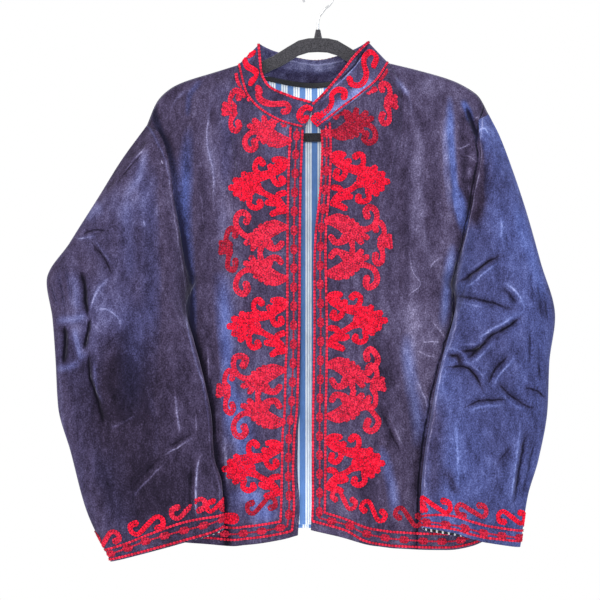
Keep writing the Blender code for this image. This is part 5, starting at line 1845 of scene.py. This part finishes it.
def seen_along_y(points, sign):
    """A surface that gives a cloth's point at an x and z, seen from the front at -1 or the back at 1."""
    rows, columns = points.shape[:2]
    tree = BVHTree.FromPolygons(points.reshape(-1, 3).tolist(), grid_faces(rows, columns))
    towards = Vector((0, -sign, 0))

    def surface(x, z):
        hits = [tree.ray_cast(Vector((a, RAY_START * sign, b)), towards)[0] for a, b in zip(x, z)]
        return np.array([tuple(hit) if hit else (np.nan,) * 3 for hit in hits])

    return surface


def foot_of(sheet, shares):
    """A sheet's lower edge, and how many millimetres there are to its whole way down, as measured there."""
    foot = sheet(shares, np.ones_like(shares))
    above = sheet(shares, np.full_like(shares, 1 - EDGE_REACH))
    return foot, np.linalg.norm(foot - above, axis=1) / EDGE_REACH


def above_foot(sheet, shares):
    """A surface measured in millimetres along a sheet's lower edge and up from it, with both measures."""
    foot, tall = foot_of(sheet, shares)
    along = lengths_along(foot)
    along -= np.interp(0, shares, along)

    def surface(u, v):
        share = np.interp(u, along, shares)
        return sheet(share, 1 - v / np.interp(share, shares, tall))

    return surface, along, tall


def corner_row(sheet, insets, lifts):
    """A line down beside a front's free edge, round the corner and along the hem, as places on it."""
    down = np.linspace(BORDER_TOP, 1, EDGE_PLACES)
    edge = sheet(np.zeros_like(down), down)
    wide = np.linalg.norm(sheet(np.full_like(down, BESIDE_REACH), down) - edge, axis=1) / BESIDE_REACH
    across = read_columns(insets, down)[0] / wide
    hem = spread(HEM_PLACES, pull=1.0)[:-1]
    height = 1 - read_columns(lifts, hem)[0] / foot_of(sheet, hem)[1]
    corner_down = np.interp(across[-1], hem, height)
    corner_across = np.interp(corner_down, down, across)
    upright = [(a, d) for a, d in zip(across, down) if d < corner_down]
    level = [(a, d) for a, d in zip(hem, height) if a > corner_across]
    return np.array(upright + [(corner_across, corner_down)] + level)


def lay_beads(work, row, sheet, surface, tone):
    """Beads along a row of places, headed along it as seen from the front or back."""
    points = sheet(row[:, 0], row[:, 1])
    lengths = lengths_along(points)
    for at in np.arange(BEAD_START, lengths[-1], BEAD_STEP):
        x, x_next = (np.interp(at + more, lengths, points[:, 0]) for more in (-1, 1))
        z, z_next = (np.interp(at + more, lengths, points[:, 2]) for more in (-1, 1))
        heading = math.degrees(math.atan2(z_next - z, x_next - x))
        work.cover(bead(((x + x_next) / 2, (z + z_next) / 2), heading), surface, tone)


def embroider_front(side, points, threads):
    work = Stitching(f"front_{side}", FRONT_BEHIND)
    hand = random.Random(HAND_SEEDS[side])
    surface = seen_along_y(points, -1)
    sheet = partial(front_sheet, side)
    sign = outward(side)
    border = corner_row(sheet, OUTER_LINE[side], HIGH_LINE[side])
    border_places = sheet(border[:, 0], border[:, 1])
    upright = np.argsort(border_places[:, 2])

    def lay_motif(strokes, z, flip, tone, shift=0):
        foot = float(np.interp(z, border_places[upright, 2], border_places[upright, 0])) + sign * shift
        placed = [(np.stack([foot + sign * line[:, 0], z + flip * line[:, 1]], axis=1), width)
                  for line, width in strokes]
        work.cover(placed, surface, tone)

    for z, motif, tone, bud_tone, bud_shift in FRONT_MOTIFS[side]:
        if motif == "bloom":
            lay_motif(strokes_of(BLOOM, hand), z, 1, tone)
        elif motif == "half":
            lay_motif(strokes_of(HALF_LEAF, hand), z, -1, tone)
        else:
            lay_motif(strokes_of(LEAF, hand), z, -1, tone)
            lay_motif(strokes_of(LEAF, hand), z, 1, tone)
        if bud_tone:
            lay_motif(strokes_of(BUD, hand), z + BUD_LIFT[motif], 1, bud_tone, bud_shift)
    for places, widths, tone in SMALL_STROKES[side]:
        work.cover([stroke(places, widths)], surface, tone)
    for x, z, degrees, turned_over, size, tone in HEM_SCROLLS[side]:
        work.cover(scroll((x, z), degrees, size, turned_over), surface, tone)
    for insets, lifts in ((EDGE_LINE, LOW_LINE), (OUTER_LINE, HIGH_LINE)):
        work.lay_row(corner_row(sheet, insets[side], lifts[side]), sheet, "mid", LINE_SCALE)
    beads = corner_row(sheet, BEAD_LINE[side], LOW_BEADS[side])
    work.lay_row(beads, sheet, "deep", BEAD_LINE_SCALE)
    lay_beads(work, beads, sheet, surface, "deep")
    return work.build(threads)


def embroider_back(points, threads):
    """The hem's band goes on round the back."""
    work = Stitching("back", BACK_BEHIND)
    surface = seen_along_y(points, 1)
    across = spread(EDGE_PLACES, pull=1.0)[1:-1]
    foot, tall = foot_of(back_sheet, across)
    for table, (tone, scale) in zip((BACK_LOW, BACK_BEADS, BACK_HIGH), BAND_THREADS):
        row = np.stack([across, 1 - read_columns(table, across)[0] / tall], axis=1)
        work.lay_row(row, back_sheet, tone, scale)
        if table is BACK_BEADS:
            lay_beads(work, row, back_sheet, surface, tone)
    for x, tone in BACK_SCROLLS:
        z = float(np.interp(x, foot[:, 0], foot[:, 2])) + BACK_SCROLL_LIFT
        work.cover(scroll((x, z), 0, 1.0), surface, tone)
    return work.build(threads)


def embroider_cuff(side, threads):
    sheet = partial(sleeve_sheet, side)
    turns = np.linspace(-CUFF_PAST, 2 * math.pi + CUFF_PAST, CUFF_PLACES_PAST)
    ring = sheet(turns, np.full_like(turns, 1 - EDGE_REACH))
    work = Stitching(f"sleeve_{side}", ring.mean(axis=0))
    surface, along, tall = above_foot(sheet, turns)
    for angle, lift, degrees, size, tone in CUFF_SCROLLS[side]:
        place = float(np.interp(angle, turns, along)), lift
        work.cover(scroll(place, degrees, size), surface, tone)
    once = np.linspace(0, 2 * math.pi, CUFF_PLACES)
    for table, (tone, scale) in zip((CUFF_LOW, CUFF_BEADS, CUFF_HIGH), BAND_THREADS):
        lift = read_columns(table[side], once)[0]
        row = np.stack([once, 1 - lift / np.interp(once, turns, tall)], axis=1)
        work.lay_row(row, sheet, tone, scale)
        if table is CUFF_BEADS:
            lengths = np.interp(once, turns, along)
            for at in np.arange(BEAD_START, lengths[-1], BEAD_STEP):
                work.cover(bead((at, float(np.interp(at, lengths, lift))), 0), surface, tone)
    return work.build(threads)


def embroider_collar(threads):
    work = Stitching("collar", COLLAR_BEHIND)
    places = np.linspace(0, 1, COLLAR_PLACES)
    along = collar_lengths(places)
    foot = collar_sheet(places, np.zeros_like(places))
    tall = np.linalg.norm(collar_sheet(places, np.ones_like(places)) - foot, axis=1)

    def surface(u, v):
        place = np.interp(u, along, places)
        return collar_sheet(place, v / np.interp(place, places, tall))

    for line, widths, tone in COLLAR_STROKES:
        work.cover([stroke(line, widths)], surface, tone)
    inner = slice(COLLAR_LINE_START, -1)
    low = read_columns(COLLAR_LOW, places)[0] / tall
    for up, scale in zip((low, 1 - COLLAR_HIGH / tall), COLLAR_LINE_SCALES):
        work.lay_row(np.stack([places, up], axis=1)[inner], collar_sheet, "mid", scale)
    return work.build(threads)


def dress_hanger():
    flock = plain_cloth_material("flock", (0.010, 0.010, 0.012), (0.045, 0.043, 0.050), 700)
    chrome = metal_material("hook_chrome", (0.62, 0.63, 0.65), 0.16)
    for node, material in (("hanger_body", flock), ("hanger_ferrule", flock), ("hanger_hook", chrome)):
        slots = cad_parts[node].data.materials
        slots.clear()
        slots.append(material)


def main():
    velvet = velvet_material()
    cotton = striped_material("striped_cotton", STRIPES, STRIPE_PERIOD)
    # The sleeves' lining, darkened as painted shade.
    painted_shade_lining = striped_material("striped_cotton_painted_shade", PAINTED_SHADE_LINING_STRIPES, PAINTED_SHADE_LINING_PERIOD)
    tape = plain_cloth_material("black_tape", (0.012, 0.012, 0.015), (0.03, 0.03, 0.035), 900)
    threads = [thread_material(tone) for tone in THREADS]
    cloths = build_fronts(velvet, cotton) | build_back(velvet, cotton) | build_sleeves(velvet, painted_shade_lining)
    cloths |= build_collar(velvet, velvet) | build_lining(cotton) | build_tape(tape)
    stitched = {
        "front_right": embroider_front("right", cloths["front_right"][1], threads),
        "front_left": embroider_front("left", cloths["front_left"][1], threads),
        "back": embroider_back(cloths["back"][1], threads),
        "sleeve_right": embroider_cuff("right", threads),
        "sleeve_left": embroider_cuff("left", threads),
        "collar": embroider_collar(threads),
    }
    dress_hanger()


# The lights: name, place, what it is turned to, size, power, colour.
LIGHTS = [
    ("key", (-1.7, -1.7, 1.1), (0, 0, -0.45), 0.7, 50, (1.0, 0.97, 0.94)),
    ("cool_fill", (2.3, -1.0, 0.5), (0, 0, -0.45), 1.0, 26, (0.72, 0.84, 1.0)),
    ("front", (-0.025, -2.6, -0.40), (-0.025, 0, -0.43), 0.3, 45, (1.0, 1.0, 1.0)),
]
FLOOR_RADIUS = 2500
FLOOR_HEIGHT = -1600.0
FLOOR_SIDES = 96
FLOOR_SHADES = [(0.3, (0.84, 0.84, 0.84)), (0.7, (0.88, 0.88, 0.88))]


def build_camera():
    camera = bpy.data.cameras.new("camera")
    camera.sensor_width = SENSOR
    camera.lens = SENSOR * VIEW_DISTANCE / VIEW_WIDTH
    view = bpy.data.objects.new("camera", camera)
    view.location = CAMERA_PLACE
    view.rotation_euler = (math.radians(90), 0, 0)
    bpy.context.scene.collection.objects.link(view)
    bpy.context.scene.camera = view


def build_lights():
    """Soft white from all round, and round area lights."""
    world = bpy.data.worlds.new("studio")
    world.use_nodes = True
    sky = world.node_tree.nodes["Background"]
    sky.inputs["Color"].default_value = (1, 1, 1, 1)
    sky.inputs["Strength"].default_value = 1.0
    bpy.context.scene.world = world
    bpy.context.scene.view_settings.view_transform = "Standard"
    for name, place, target, size, power, color in LIGHTS:
        data = bpy.data.lights.new(name, "AREA")
        data.shape = "DISK"
        data.size = size
        data.energy = power
        data.color = color
        light = bpy.data.objects.new(name, data)
        light.location = place
        light.rotation_euler = (Vector(target) - Vector(place)).to_track_quat("-Z", "Y").to_euler()
        bpy.context.scene.collection.objects.link(light)


def build_floor():
    turns = np.linspace(0, 2 * math.pi, FLOOR_SIDES, endpoint=False)
    rim = np.stack([np.cos(turns) * FLOOR_RADIUS, np.sin(turns) * FLOOR_RADIUS,
                    np.full(FLOOR_SIDES, FLOOR_HEIGHT)], axis=1)
    data = bpy.data.meshes.new("floor")
    data.from_pydata((rim * MM).tolist(), [], [tuple(range(FLOOR_SIDES))])
    floor = bpy.data.objects.new("floor", data)
    material, tree, shader = new_material("floor", Roughness=0.9)
    pale = color_ramp(tree, noise(tree, 3, detail=2), FLOOR_SHADES)
    tree.links.new(pale, shader.inputs["Base Color"])
    data.materials.append(material)
    bpy.context.scene.collection.objects.link(floor)


build_camera()
build_lights()
build_floor()
main()
bpy.context.view_layer.update()
